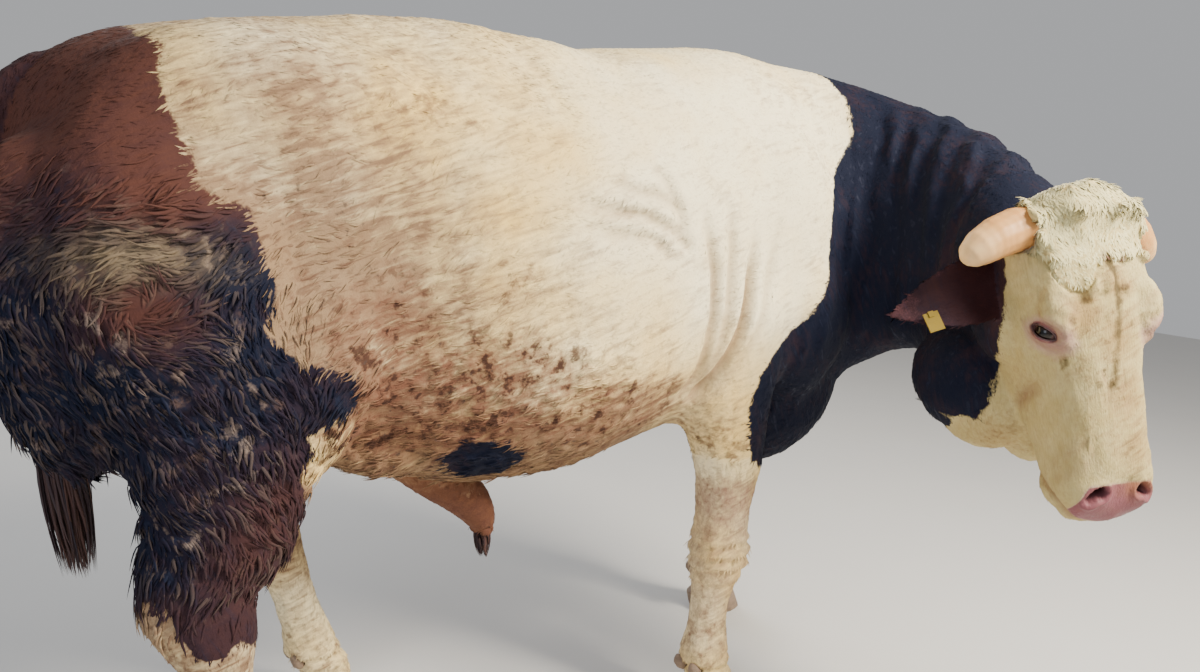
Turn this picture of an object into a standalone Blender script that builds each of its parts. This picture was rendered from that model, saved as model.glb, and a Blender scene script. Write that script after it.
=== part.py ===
# A heavily muscled beef bull standing and looking back over its right side, life size, in metres.
import math
import random

import bmesh
import bpy
import numpy as np
from mathutils import Matrix, Vector

# Frame while building: +X is forward, +Y is the animal's left, +Z is up, the floor is z = 0.
GAP = 0.0003
BODY_VOXEL = 0.011
HEAD_VOXEL = 0.005
SEED = 5988

BODY_TRIANGLES = 4900
HEAD_TRIANGLES = 1800
LEG_SIDES = 20

# Where each hoof stands, as x and y of the middle of the foot.
FORE_RIGHT = (-0.110, -0.225)
FORE_LEFT = (0.290, 0.225)
HIND_RIGHT = (-1.200, -0.255)
HIND_LEFT = (-0.890, 0.255)
# How far the far hind foot is set ahead of its hock.
HIND_LEFT_REACH = 0.090

# The head hangs from the poll, turned back to the right and pitched down.
POLL = Vector((0.286, -0.772, 1.239))
HEAD_AZIMUTH = math.radians(-108.3)
HEAD_PITCH = math.radians(68.5)
HEAD_TILT = math.radians(3.6)
HEAD_TWIST = math.radians(2.2)
HEAD_SCALE = 1.03
EYE_RADIUS = 0.0215
EYE_PLACE = Vector((0.222, 0.1060, -0.004))


def clear_scene():
    for old in list(bpy.data.objects):
        bpy.data.objects.remove(old, do_unlink=True)


def mesh_object(name, points, faces):
    mesh = bpy.data.meshes.new(name)
    mesh.from_pydata([tuple(map(float, p)) for p in points], [], faces)
    mesh.update()
    made = bpy.data.objects.new(name, mesh)
    bpy.context.scene.collection.objects.link(made)
    return made


def spline(rows, steps):
    """Rows of numbers resampled along a Catmull-Rom curve, with `steps` rows for each span."""
    rows = np.array(rows, float)
    padded = np.vstack([2 * rows[0] - rows[1], rows, 2 * rows[-1] - rows[-2]])
    out = []
    for i in range(1, len(padded) - 2):
        a, b, c, d = padded[i - 1 : i + 3]
        for k in range(steps):
            t = k / steps
            out.append(
                0.5 * (2 * b + (c - a) * t + (2 * a - 5 * b + 4 * c - d) * t**2
                       + (3 * b - a - 3 * c + d) * t**3)
            )
    out.append(rows[-1])
    return np.array(out)


def tube(name, centres, frames, halves, sides):
    """A closed tube through rings. Each ring has half sizes (right, left, up, down, exponent)."""
    points = []
    faces = []
    for centre, (across, up), (right, left, high, low, power) in zip(centres, frames, halves):
        for k in range(sides):
            turn = 2 * math.pi * k / sides
            c = math.cos(turn)
            s = math.sin(turn)
            wide = (left if c > 0 else right) * math.copysign(abs(c) ** (2 / power), c)
            tall = (high if s > 0 else low) * math.copysign(abs(s) ** (2 / power), s)
            points.append(centre + across * wide + up * tall)
    rings = len(centres)
    for i in range(rings - 1):
        for k in range(sides):
            j = (k + 1) % sides
            faces.append((i * sides + k, i * sides + j, (i + 1) * sides + j, (i + 1) * sides + k))
    first = len(points)
    points.append(centres[0])
    points.append(centres[-1])
    for k in range(sides):
        j = (k + 1) % sides
        faces.append((first, j, k))
        faces.append((first + 1, (rings - 1) * sides + k, (rings - 1) * sides + j))
    return face_out(mesh_object(name, points, faces))


def face_out(target):
    work = bmesh.new()
    work.from_mesh(target.data)
    bmesh.ops.recalc_face_normals(work, faces=work.faces)
    if work.calc_volume(signed=True) < 0:
        bmesh.ops.reverse_faces(work, faces=work.faces)
    work.to_mesh(target.data)
    work.free()
    target.data.update()
    return target


def path_frames(centres, up_hint):
    """An (across, up) pair square to the path at each centre."""
    frames = []
    hint = Vector(up_hint)
    for i, _ in enumerate(centres):
        ahead = centres[min(i + 1, len(centres) - 1)]
        behind = centres[max(i - 1, 0)]
        along = Vector(ahead - behind).normalized()
        across = hint.cross(along).normalized()
        up = along.cross(across).normalized()
        frames.append((np.array(across), np.array(up)))
    return frames


def loft(name, stations, up_hint=(0, 0, 1), sides=32, steps=4):
    """Stations of x, y, z, right, left, up, down, exponent, joined along a smooth path."""
    rows = spline(stations, steps)
    centres = [np.array(r[:3]) for r in rows]
    return tube(name, centres, path_frames(centres, up_hint), rows[:, 3:8], sides)


def trunk_loft(name, stations, sides=48, steps=5):
    """Upright sections: x, half width, top, bottom, height of the widest place, exponent."""
    rows = spline(stations, steps)
    across = np.array((0.0, 1.0, 0.0))
    up = np.array((0.0, 0.0, 1.0))
    centres = []
    halves = []
    for x, wide, top, bottom, middle, power in rows:
        centres.append(np.array((x, 0.0, middle)))
        halves.append((wide, wide, top - middle, middle - bottom, power))
    return tube(name, centres, [(across, up)] * len(rows), halves, sides)


def egg(name, centre, radii, turn=(0, 0, 0), detail=3):
    """An ellipsoid; the turn is in degrees about x, y and z."""
    work = bmesh.new()
    bmesh.ops.create_icosphere(work, subdivisions=detail, radius=1.0)
    spin = Matrix.Rotation(math.radians(turn[2]), 3, "Z") @ Matrix.Rotation(
        math.radians(turn[1]), 3, "Y") @ Matrix.Rotation(math.radians(turn[0]), 3, "X")
    for vert in work.verts:
        vert.co = spin @ Vector([a * b for a, b in zip(vert.co, radii)]) + Vector(centre)
    mesh = bpy.data.meshes.new(name)
    work.to_mesh(mesh)
    work.free()
    made = bpy.data.objects.new(name, mesh)
    bpy.context.scene.collection.objects.link(made)
    return made


def both_sides(name, centre, radii, turn=(0, 0, 0), detail=3):
    """The same mass on the right and on the left."""
    x, y, z = centre
    a, b, c = turn
    return [
        egg(name + "_r", (x, -abs(y), z), radii, (a, b, c), detail),
        egg(name + "_l", (x, abs(y), z), radii, (-a, b, -c), detail),
    ]


def joined(name, pieces):
    """One object that holds the shells of all the pieces, which are removed."""
    work = bmesh.new()
    for piece in pieces:
        work.from_mesh(piece.data)
        bpy.data.objects.remove(piece, do_unlink=True)
    mesh = bpy.data.meshes.new(name)
    work.to_mesh(mesh)
    work.free()
    made = bpy.data.objects.new(name, mesh)
    bpy.context.scene.collection.objects.link(made)
    return made


def applied(target):
    """The object with its modifiers applied."""
    bpy.context.view_layer.update()
    graph = bpy.context.evaluated_depsgraph_get()
    mesh = bpy.data.meshes.new_from_object(target.evaluated_get(graph))
    target.modifiers.clear()
    old = target.data
    target.data = mesh
    bpy.data.meshes.remove(old)
    return target


def fused(name, pieces, voxel, rounds, strength=0.5):
    """Overlapping closed shells made one skin by a voxel remesh, then evened out."""
    whole = joined(name, pieces)
    remesh = whole.modifiers.new("fuse", "REMESH")
    remesh.mode = "VOXEL"
    remesh.voxel_size = voxel
    remesh.adaptivity = 0.0
    even = whole.modifiers.new("even", "SMOOTH")
    even.factor = strength
    even.iterations = rounds
    return applied(whole)


def thinned(target, triangles):
    """The mesh as triangles, decimated to about this many."""
    now = sum(len(p.vertices) - 2 for p in target.data.polygons)
    cut = target.modifiers.new("thin", "DECIMATE")
    cut.ratio = min(1.0, triangles / now)
    cut.use_collapse_triangulate = True
    return applied(target)


def largest_only(target):
    """Keeps the largest closed surface of the mesh."""
    work = bmesh.new()
    work.from_mesh(target.data)
    work.verts.ensure_lookup_table()
    seen = set()
    groups = []
    for start in work.verts:
        if start.index in seen:
            continue
        stack = [start]
        seen.add(start.index)
        group = []
        while stack:
            vert = stack.pop()
            group.append(vert)
            for edge in vert.link_edges:
                other = edge.other_vert(vert)
                if other.index not in seen:
                    seen.add(other.index)
                    stack.append(other)
        groups.append(group)
    groups.sort(key=len, reverse=True)
    for group in groups[1:]:
        bmesh.ops.delete(work, geom=group, context="VERTS")
    work.to_mesh(target.data)
    work.free()
    target.data.update()
    return target


def triangulated(target):
    work = bmesh.new()
    work.from_mesh(target.data)
    bmesh.ops.triangulate(work, faces=work.faces)
    work.to_mesh(target.data)
    work.free()
    target.data.update()
    return target


def combine(target, others, operation):
    """A Boolean of the target with closed objects, which are removed after it."""
    group = bpy.data.collections.new("tools")
    bpy.context.scene.collection.children.link(group)
    for other in others:
        for home in list(other.users_collection):
            home.objects.unlink(other)
        group.objects.link(other)
    step = target.modifiers.new("combine", "BOOLEAN")
    step.operation = operation
    step.operand_type = "COLLECTION"
    step.collection = group
    step.solver = "MANIFOLD"
    applied(target)
    for other in list(group.objects):
        bpy.data.objects.remove(other, do_unlink=True)
    bpy.data.collections.remove(group)
    return largest_only(target)


def copy_of(source, name):
    made = bpy.data.objects.new(name, source.data.copy())
    bpy.context.scene.collection.objects.link(made)
    return made


def grown(source, amount):
    """A copy with every point moved out along its normal."""
    made = copy_of(source, source.name + "_grown")
    work = bmesh.new()
    work.from_mesh(made.data)
    work.normal_update()
    moved = [(v, v.co + v.normal * amount) for v in work.verts]
    for vert, place in moved:
        vert.co = place
    work.to_mesh(made.data)
    work.free()
    return made


def seat(host, piece):
    """Sinks the piece in the host with a thin gap around it."""
    triangulated(piece)
    return combine(host, [grown(piece, GAP)], "DIFFERENCE")


def slab(name, centre, size, turn=None):
    """A closed box; the turn is a 3 x 3 matrix."""
    work = bmesh.new()
    bmesh.ops.create_cube(work, size=1.0)
    spin = turn if turn is not None else Matrix.Identity(3)
    for vert in work.verts:
        local = Vector([a * b for a, b in zip(vert.co, size)])
        vert.co = spin @ local + Vector(centre)
    mesh = bpy.data.meshes.new(name)
    work.to_mesh(mesh)
    work.free()
    made = bpy.data.objects.new(name, mesh)
    bpy.context.scene.collection.objects.link(made)
    return made


def split(source, name, centre, size, turn=None):
    """Cuts what is inside the box off as a new object and leaves a thin gap in the source."""
    inside = combine(copy_of(source, name), [slab("box", centre, size, turn)], "INTERSECT")
    bigger = [s + 2 * GAP for s in size]
    combine(source, [slab("box", centre, bigger, turn)], "DIFFERENCE")
    return inside


def head_matrix():
    """Head coordinates: x from the poll to the muzzle, y to the left, z out of the forehead."""
    flat = Vector((math.cos(HEAD_AZIMUTH), math.sin(HEAD_AZIMUTH), 0.0))
    down = Vector((0.0, 0.0, -1.0))
    along = flat * math.cos(HEAD_PITCH) + down * math.sin(HEAD_PITCH)
    out = flat * math.sin(HEAD_PITCH) - down * math.cos(HEAD_PITCH)
    left = out.cross(along)
    turn = Matrix((along, left, out)).transposed()
    turn = turn @ Matrix.Rotation(HEAD_TILT, 3, "Z") @ Matrix.Rotation(HEAD_TWIST, 3, "X")
    return Matrix.Translation(POLL) @ turn.to_4x4()


# Trunk: x, half width, top, bottom, height of the widest place, exponent.
TRUNK = [
    (-1.530, 0.050, 1.340, 1.100, 1.22, 2.0),
    (-1.500, 0.130, 1.400, 0.980, 1.20, 2.1),
    (-1.430, 0.230, 1.458, 0.870, 1.19, 2.2),
    (-1.310, 0.290, 1.495, 0.790, 1.19, 2.3),
    (-1.130, 0.320, 1.525, 0.725, 1.20, 2.4),
    (-0.940, 0.330, 1.545, 0.660, 1.16, 2.4),
    (-0.720, 0.365, 1.545, 0.610, 1.08, 2.3),
    (-0.480, 0.370, 1.545, 0.620, 1.06, 2.3),
    (-0.250, 0.340, 1.570, 0.670, 1.08, 2.2),
    (-0.050, 0.300, 1.590, 0.700, 1.10, 2.1),
    (0.120, 0.260, 1.570, 0.700, 1.10, 2.1),
    (0.260, 0.200, 1.480, 0.740, 1.08, 2.0),
    (0.340, 0.090, 1.330, 0.860, 1.08, 2.0),
]

# Neck: x, y, z, right, left, up, down, exponent.
NECK = [
    (-0.080, 0.000, 1.150, 0.230, 0.230, 0.420, 0.380, 2.0),
    (0.100, -0.010, 1.150, 0.230, 0.230, 0.425, 0.440, 2.0),
    (0.265, -0.060, 1.150, 0.215, 0.225, 0.410, 0.430, 2.0),
    (0.380, -0.170, 1.150, 0.190, 0.215, 0.370, 0.340, 2.0),
    (0.425, -0.310, 1.150, 0.172, 0.200, 0.320, 0.270, 2.0),
    (0.420, -0.440, 1.145, 0.160, 0.185, 0.275, 0.290, 2.0),
    (0.390, -0.550, 1.140, 0.150, 0.170, 0.212, 0.310, 2.0),
    (0.350, -0.640, 1.135, 0.135, 0.150, 0.148, 0.270, 2.0),
    (0.315, -0.710, 1.130, 0.110, 0.120, 0.080, 0.180, 2.0),
]


def fore_leg(name, foot):
    """A fore leg from inside the shoulder down to the coronet."""
    x, y = foot
    side = math.copysign(1.0, y)
    top = -0.090 + (x - FORE_RIGHT[0]) * 0.25
    mid = top * 0.5 + x * 0.5
    return loft(name, [
        (top, 0.200 * side, 1.060, 0.110, 0.110, 0.170, 0.160, 2.0),
        (top - 0.030, 0.225 * side, 0.900, 0.105, 0.105, 0.150, 0.160, 2.0),
        (mid - 0.020, 0.232 * side, 0.760, 0.094, 0.094, 0.118, 0.130, 2.0),
        (x + 0.005 - (x - mid) * 0.35, 0.230 * side, 0.640, 0.078, 0.078, 0.094, 0.094, 2.0),
        (x + 0.004, 0.228 * side, 0.520, 0.064, 0.064, 0.071, 0.070, 2.0),
        (x + 0.004, y, 0.450, 0.065, 0.065, 0.072, 0.070, 2.2),
        (x + 0.004, y, 0.400, 0.070, 0.070, 0.076, 0.072, 2.3),
        (x - 0.002, y, 0.345, 0.056, 0.056, 0.058, 0.062, 2.2),
        (x - 0.010, y, 0.280, 0.045, 0.045, 0.046, 0.050, 2.1),
        (x - 0.012, y, 0.215, 0.047, 0.047, 0.048, 0.056, 2.1),
        (x - 0.014, y, 0.160, 0.060, 0.060, 0.056, 0.066, 2.2),
        (x - 0.006, y, 0.115, 0.055, 0.055, 0.052, 0.056, 2.2),
        (x + 0.002, y, 0.075, 0.062, 0.062, 0.060, 0.062, 2.4),
        (x + 0.006, y, 0.030, 0.064, 0.064, 0.066, 0.066, 2.5),
    ], up_hint=(1, 0, 0), sides=LEG_SIDES)


def hind_leg(name, foot, reach=0.0):
    """A hind leg from inside the thigh down to the coronet, its foot set ahead by the reach."""
    x, y = foot
    side = math.copysign(1.0, y)
    hock = x - reach
    top = -1.180 + (hock - HIND_RIGHT[0]) * 0.2
    mid = top * 0.5 + (hock - 0.03) * 0.5
    low = [
        (-0.085, 0.525, 0.060, 0.060, 0.096, 0.098, 2.1),
        (-0.066, 0.455, 0.058, 0.058, 0.078, 0.074, 2.2),
        (-0.052, 0.380, 0.049, 0.049, 0.057, 0.058, 2.1),
        (-0.040, 0.290, 0.046, 0.046, 0.049, 0.053, 2.1),
        (-0.030, 0.215, 0.048, 0.048, 0.050, 0.057, 2.1),
        (-0.024, 0.160, 0.060, 0.060, 0.057, 0.067, 2.2),
        (-0.012, 0.115, 0.055, 0.055, 0.052, 0.056, 2.2),
        (0.000, 0.075, 0.061, 0.061, 0.058, 0.061, 2.4),
        (0.005, 0.030, 0.063, 0.063, 0.064, 0.064, 2.5),
    ]
    lower = [
        (x + ahead - reach * max(0.0, z - 0.100) / 0.425, y, z, *more) for ahead, z, *more in low
    ]
    return loft(name, [
        (top, 0.190 * side, 1.080, 0.130, 0.130, 0.200, 0.240, 2.0),
        (top - 0.010, 0.215 * side, 0.920, 0.125, 0.125, 0.190, 0.220, 2.0),
        (mid - 0.030, 0.235 * side, 0.790, 0.112, 0.112, 0.162, 0.175, 2.0),
        (hock - 0.045, 0.248 * side, 0.680, 0.090, 0.090, 0.138, 0.140, 2.0),
        (hock - 0.085, 0.255 * side, 0.590, 0.068, 0.068, 0.122, 0.108, 2.0),
    ] + lower, up_hint=(1, 0, 0), sides=LEG_SIDES)


def body_masses():
    """Muscles and fat laid over the lofts."""
    pieces = []
    # Shoulder: blade, triceps and the point of the shoulder.
    pieces += both_sides("blade", (-0.04, 0.180, 1.09), (0.240, 0.120, 0.330), (8, 14, 0))
    pieces += both_sides("triceps", (-0.17, 0.230, 0.960), (0.190, 0.115, 0.190), (0, 25, 0))
    pieces += both_sides("point", (0.090, 0.200, 0.960), (0.160, 0.115, 0.210), (0, -15, 0))
    # Loin on both sides of the spine.
    pieces += both_sides("loin", (-0.75, 0.115, 1.415), (0.520, 0.130, 0.140), (0, 1, 0))
    # Rump and thigh.
    pieces += both_sides("rump", (-1.170, 0.175, 1.330), (0.300, 0.160, 0.180), (0, -6, 0))
    pieces += both_sides("hip", (-1.000, 0.235, 1.370), (0.120, 0.080, 0.100), (0, 0, 0))
    pieces += both_sides("outer_thigh", (-1.310, 0.220, 1.070), (0.215, 0.150, 0.320), (0, -10, 0))
    pieces += both_sides("stifle", (-1.110, 0.228, 0.940), (0.160, 0.125, 0.240), (0, 12, 0))
    pieces += both_sides("rear_thigh", (-1.475, 0.160, 1.020), (0.130, 0.120, 0.290), (0, -8, 0))
    # Brisket, belly and the fold of skin at the flank.
    pieces.append(egg("brisket", (0.150, -0.050, 0.765), (0.240, 0.165, 0.210), (0, -25, 0)))
    pieces.append(egg("belly", (-0.620, 0.0, 0.800), (0.480, 0.260, 0.190), (0, 3, 0)))
    pieces += both_sides("flank_fold", (-0.990, 0.175, 0.790), (0.190, 0.055, 0.095), (0, 28, 0))
    return pieces + throat_masses()


def throat_masses():
    """Loose skin of the throat, between the jaw and the chest."""
    return [
        egg("throat", (0.275, -0.560, 0.870), (0.095, 0.125, 0.115)),
        egg("dewlap", (0.285, -0.620, 0.815), (0.060, 0.120, 0.095)),
    ]


def body_softness(target):
    """A vertex group that is strong on the trunk and weak on the lower legs and the head end."""
    group = target.vertex_groups.new(name="soft")
    for vert in target.data.vertices:
        z = vert.co.z
        share = min(1.0, max(0.04, (z - 0.55) / 0.25))
        group.add([vert.index], share, "REPLACE")
    return group


def build_body():
    pieces = [trunk_loft("trunk", TRUNK)]
    pieces.append(loft("neck", NECK, sides=40))
    pieces.append(fore_leg("fr", FORE_RIGHT))
    pieces.append(fore_leg("fl", FORE_LEFT))
    pieces.append(hind_leg("hr", HIND_RIGHT))
    pieces.append(hind_leg("hl", HIND_LEFT, HIND_LEFT_REACH))
    pieces += body_masses()
    body = fused("body", pieces, BODY_VOXEL, 5)
    body_softness(body)
    soft = body.modifiers.new("soften", "SMOOTH")
    soft.factor = 0.6
    soft.iterations = 60
    soft.vertex_group = "soft"
    return applied(body)


# Head, in its own coordinates: x, half width, top, bottom, height of the widest place, exponent.
SKULL = [
    (-0.050, 0.060, 0.000, -0.110, -0.050, 2.0),
    (-0.025, 0.110, 0.034, -0.165, -0.050, 2.2),
    (0.040, 0.138, 0.055, -0.220, -0.045, 2.5),
    (0.110, 0.142, 0.062, -0.255, -0.035, 2.5),
    (0.180, 0.136, 0.058, -0.262, -0.035, 2.4),
    (0.250, 0.118, 0.048, -0.248, -0.045, 2.3),
    (0.330, 0.102, 0.036, -0.222, -0.055, 2.3),
    (0.410, 0.098, 0.024, -0.190, -0.062, 2.3),
    (0.480, 0.102, 0.010, -0.162, -0.066, 2.4),
    (0.530, 0.099, -0.014, -0.142, -0.070, 2.5),
    (0.572, 0.080, -0.044, -0.120, -0.080, 2.3),
    (0.588, 0.042, -0.066, -0.102, -0.084, 2.0),
]


def eye_frame(side):
    """Outward direction of an eye, the line of its lids, and the direction across them."""
    normal = Vector((0.10, 0.86 * side, 0.50)).normalized()
    slit = Vector((0.65, 0.0, 0.76))
    slit = (slit - normal * slit.dot(normal)).normalized()
    return normal, slit, normal.cross(slit)


def build_head():
    pieces = [trunk_loft("skull", SKULL, sides=48, steps=5)]
    pieces += both_sides("brow", (0.190, 0.092, 0.024), (0.066, 0.040, 0.032), (0, 8, 0))
    pieces += both_sides("cheek", (0.150, 0.088, -0.130), (0.120, 0.060, 0.100), (0, -12, 0))
    lid = EYE_PLACE - eye_frame(1)[0] * 0.004
    pieces += both_sides("lid_mass", tuple(lid), (0.036, 0.031, 0.032))
    pieces += both_sides("nostril_mass", (0.535, 0.050, -0.040), (0.046, 0.038, 0.036))
    pieces += both_sides("horn_base", (0.018, 0.108, 0.005), (0.048, 0.042, 0.046))
    pieces.append(egg("poll", (-0.008, 0.0, 0.026), (0.060, 0.112, 0.056)))
    pieces.append(egg("lip", (0.500, 0.0, -0.130), (0.072, 0.088, 0.036), (0, 12, 0)))
    pieces.append(egg("under_jaw", (0.340, 0.0, -0.235), (0.120, 0.075, 0.085), (0, 14, 0)))
    whole = joined("skull_parts", pieces)
    whole.data.transform(Matrix.Scale(HEAD_SCALE, 4))
    whole.data.transform(head_matrix())
    neck = loft("neck_end", NECK[4:], sides=36)
    head = fused("head", [whole, neck] + throat_masses(), HEAD_VOXEL, 5)
    return head


def head_place(x, y, z):
    """A point of the head's own coordinates in the scene."""
    return head_matrix() @ (Vector((x, y, z)) * HEAD_SCALE)


def moved(target, matrix):
    target.data.transform(matrix)
    target.data.update()
    return target


def surface_near(target, point):
    """The nearest point of the target's surface."""
    found, place, normal, _ = target.closest_point_on_mesh(point)
    return place, normal


# Share of the full width at even steps from root to tip.
FLAT_LOCK = (1.00, 0.96, 0.66, 0.14)
ROUND_CLUMP = (0.80, 1.00, 0.88, 0.42)


def lock(root, grow, across, length, wide, thick, bend, shape, sides=6):
    """A closed tapered lock that leaves the root along `grow` and bends towards `bend`."""
    centres = []
    frames = []
    halves = []
    for i, share in enumerate(shape):
        t = i / (len(shape) - 1)
        centres.append(np.array(root + grow * (length * t) + bend * (length * t * t)))
        along = (grow + bend * (2 * t)).normalized()
        flat = (across - along * across.dot(along)).normalized()
        frames.append((np.array(flat), np.array(along.cross(flat))))
        halves.append((wide * share, wide * share, thick * share, thick * share, 2.0))
    return triangulated(tube("lock", centres, frames, halves, sides))


# Curly hair over the poll: angle of each row, from the forehead over the top to the nape,
# half width covered and spacing across.
MOP_ROWS = (
    (-34.0, 0.052, 0.036),
    (-14.0, 0.096, 0.037),
    (6.0, 0.112, 0.037),
    (26.0, 0.120, 0.038),
    (46.0, 0.116, 0.038),
    (66.0, 0.104, 0.038),
    (88.0, 0.078, 0.038),
)
MOP_CENTRE = Vector((0.045, 0.0, -0.060))
CLUMP_LENGTH = 0.048
CLUMP_WIDE = 0.0230


def mop(head, chance):
    """Rounded clumps set close over the poll and the top of the forehead."""
    turn = head_matrix().to_3x3()
    clumps = []
    for angle, reach, step in MOP_ROWS:
        count = int(2 * reach / step) + 1
        for k in range(count):
            slope = math.radians(angle + chance.uniform(-5.0, 5.0))
            y = (k - (count - 1) / 2) * step + chance.uniform(-0.006, 0.006)
            ray = Vector((-math.sin(slope), 0.0, math.cos(slope)))
            start = MOP_CENTRE + Vector((0, y, 0)) + ray * 0.4
            hit, place, out, _ = head.ray_cast(head_place(*start), turn @ -ray)
            if not hit:
                continue
            fall = (turn @ Vector((math.cos(slope), 0.0, math.sin(slope)))).normalized()
            side_way = turn @ Vector((0, 1, 0))
            size = chance.choice((0.85, 1.0, 1.15))
            grow = (out + fall * 0.55 + side_way * chance.uniform(-0.3, 0.3)).normalized()
            bend = (fall * 0.6 + side_way * chance.uniform(-0.6, 0.6) - out * 0.5) * 0.5
            clumps.append(lock(
                place - out * 0.020, grow, side_way, CLUMP_LENGTH * size, CLUMP_WIDE * size,
                CLUMP_WIDE * 0.85 * size, bend, ROUND_CLUMP, sides=5
            ))
    return clumps


def hanging_locks(path, chance, count, top, bottom, length, wide, spread):
    """Flat locks that start along the path, from `top` to `bottom` of it, and hang down."""
    rows = spline(path, 8)
    down = Vector((0, 0, -1))
    locks = []
    for k in range(count):
        share = top + (bottom - top) * k / max(1, count - 1)
        row = rows[int(share * (len(rows) - 1))]
        turn = k * 2.4 + chance.uniform(-0.3, 0.3)
        out = Vector((math.cos(turn), math.sin(turn), 0))
        size = chance.choice((0.8, 1.0, 1.2))
        root = Vector(row[:3]) + out * row[3] * 0.35
        grow = (down + out * spread).normalized()
        bend = (down * 0.3 - out * spread * 0.8) * chance.uniform(0.5, 0.9)
        across = out.cross(down).normalized()
        locks.append(lock(
            root, grow, across, length * size, wide * size, wide * 0.42, bend, FLAT_LOCK, sides=5
        ))
    return locks


def eye(name, side):
    made = thinned(egg(name, (0, 0, 0), (EYE_RADIUS,) * 3), 160)
    place = head_place(EYE_PLACE.x, EYE_PLACE.y * side, EYE_PLACE.z)
    return moved(made, Matrix.Translation(place))


def eye_opening(side):
    """The slit between the lids, cut wide outside and narrow at the eyeball."""
    normal, slit, across = eye_frame(side)
    made = egg("opening", (0, 0, 0), (0.0200, 0.0110, 0.0300), detail=2)
    turn = Matrix((slit, across, normal)).transposed()
    place = Vector((EYE_PLACE.x, EYE_PLACE.y * side, EYE_PLACE.z)) + normal * 0.030
    turn = head_matrix().to_3x3() @ turn
    return moved(made, Matrix.Translation(head_place(*place)) @ turn.to_4x4())


def nostril(side):
    deep = egg("nostril", (0, 0, 0), (0.019, 0.013, 0.022), detail=2)
    place = head_place(0.550, 0.054 * side, -0.018)
    turn = head_matrix().to_3x3() @ Matrix.Rotation(math.radians(-24.0 * side), 3, "X")
    return moved(deep, Matrix.Translation(place) @ turn.to_4x4())


# The line of the mouth on one side, in head coordinates, from the corner to the middle.
MOUTH = [
    (0.385, 0.092, -0.122),
    (0.430, 0.094, -0.116),
    (0.480, 0.098, -0.108),
    (0.530, 0.094, -0.100),
    (0.570, 0.066, -0.094),
    (0.588, 0.028, -0.092),
    (0.592, 0.000, -0.092),
]


def mouth_cutter(head):
    """A thin groove that follows the lips from corner to corner."""
    guide = [(x, y, z) for x, y, z in MOUTH]
    guide += [(x, -y, z) for x, y, z in reversed(MOUTH[:-1])]
    places = [surface_near(head, head_place(*g))[0] for g in guide]
    rows = spline([tuple(p) for p in places], 3)
    centres = [np.array(r) for r in rows]
    out = head_matrix().to_3x3() @ Vector((0, 0, 1))
    halves = []
    for i, _ in enumerate(centres):
        ends = min(i, len(centres) - 1 - i) / 4.0
        open_share = min(1.0, 0.35 + 0.65 * ends)
        size = (0.0065 * open_share, 0.0065 * open_share, 0.0026 * open_share, 0.0026 * open_share, 2.0)
        halves.append(size)
    return tube("mouth", centres, path_frames(centres, tuple(out)), halves, 8)


def horn(name, side):
    """A short thick horn that grows out and a little forward and down."""
    rows = [
        (0.014, 0.095, 0.004, 0.0440, 0.0440, 0.0430, 0.0430, 2.0),
        (0.020, 0.138, 0.002, 0.0435, 0.0435, 0.0425, 0.0425, 2.0),
        (0.034, 0.182, 0.000, 0.0410, 0.0410, 0.0400, 0.0400, 2.0),
        (0.051, 0.218, -0.004, 0.0355, 0.0355, 0.0345, 0.0345, 2.0),
        (0.065, 0.240, -0.008, 0.0260, 0.0260, 0.0255, 0.0255, 2.0),
        (0.073, 0.251, -0.010, 0.0120, 0.0120, 0.0120, 0.0120, 2.0),
    ]
    back = 0.0 if side < 0 else 0.42
    rows = [
        (x, (y - (y - 0.095) * back * 0.45) * side, z - (y - 0.095) * back, *more)
        for x, y, z, *more in rows
    ]
    made = loft(name, rows, up_hint=(0, 0, 1), sides=14, steps=1)
    made.data.transform(Matrix.Scale(HEAD_SCALE, 4))
    return moved(made, head_matrix())


# How far each ear is laid back; the left one lies back out of sight.
EAR_BACK = {"right": 0.0, "left": 1.1}
EAR_LENGTH = 0.232
EAR_WIDTH = 0.140
EAR_ROOT = Vector((0.103, 0.132, -0.090))


def ear_matrix(side, droop):
    """Ear coordinates: x out along the ear, y across it, z out of the hollow."""
    out = Vector((0.20, 0.95 * side, -0.06 - droop)).normalized()
    hollow = Vector((0.12, 0.08 * side, 0.99))
    hollow = (hollow - out * hollow.dot(out)).normalized()
    across = hollow.cross(out)
    turn = head_matrix().to_3x3() @ Matrix((out, across, hollow)).transposed()
    return Matrix.Translation(head_place(EAR_ROOT.x, EAR_ROOT.y * side, EAR_ROOT.z)) @ turn.to_4x4()


def ear(name, side, droop):
    """A leaf with a hollow front, thick at the root and thin at the rim."""
    along = 10
    around = 12
    points = []
    faces = []
    for i in range(along + 1):
        t = i / along
        x = -0.030 + (EAR_LENGTH + 0.030) * t
        lobe = math.sin(math.pi * min(1.0, 0.17 + 0.83 * t) ** 0.85) ** 0.75
        wide = max(0.006, EAR_WIDTH * 0.5 * lobe)
        if t < 0.25:
            wide = max(wide, 0.026)
        cup = 0.030 * math.sin(math.pi * min(1.0, t * 1.05)) ** 0.8
        thick = 0.022 * (1 - t) ** 1.6 + 0.0036
        for k in range(around):
            turn = 2 * math.pi * k / around
            c = math.cos(turn)
            bend = cup * (c * c - 0.5) - 0.020 * t * t
            points.append((x, wide * c, bend + thick * math.sin(turn)))
    for i in range(along):
        for k in range(around):
            j = (k + 1) % around
            faces.append((i * around + k, i * around + j, (i + 1) * around + j, (i + 1) * around + k))
    faces.append(tuple(range(around)))
    faces.append(tuple(along * around + k for k in reversed(range(around))))
    made = face_out(mesh_object(name, points, faces))
    made.data.transform(Matrix.Scale(HEAD_SCALE, 4))
    return moved(triangulated(made), ear_matrix(side, droop))


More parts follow.
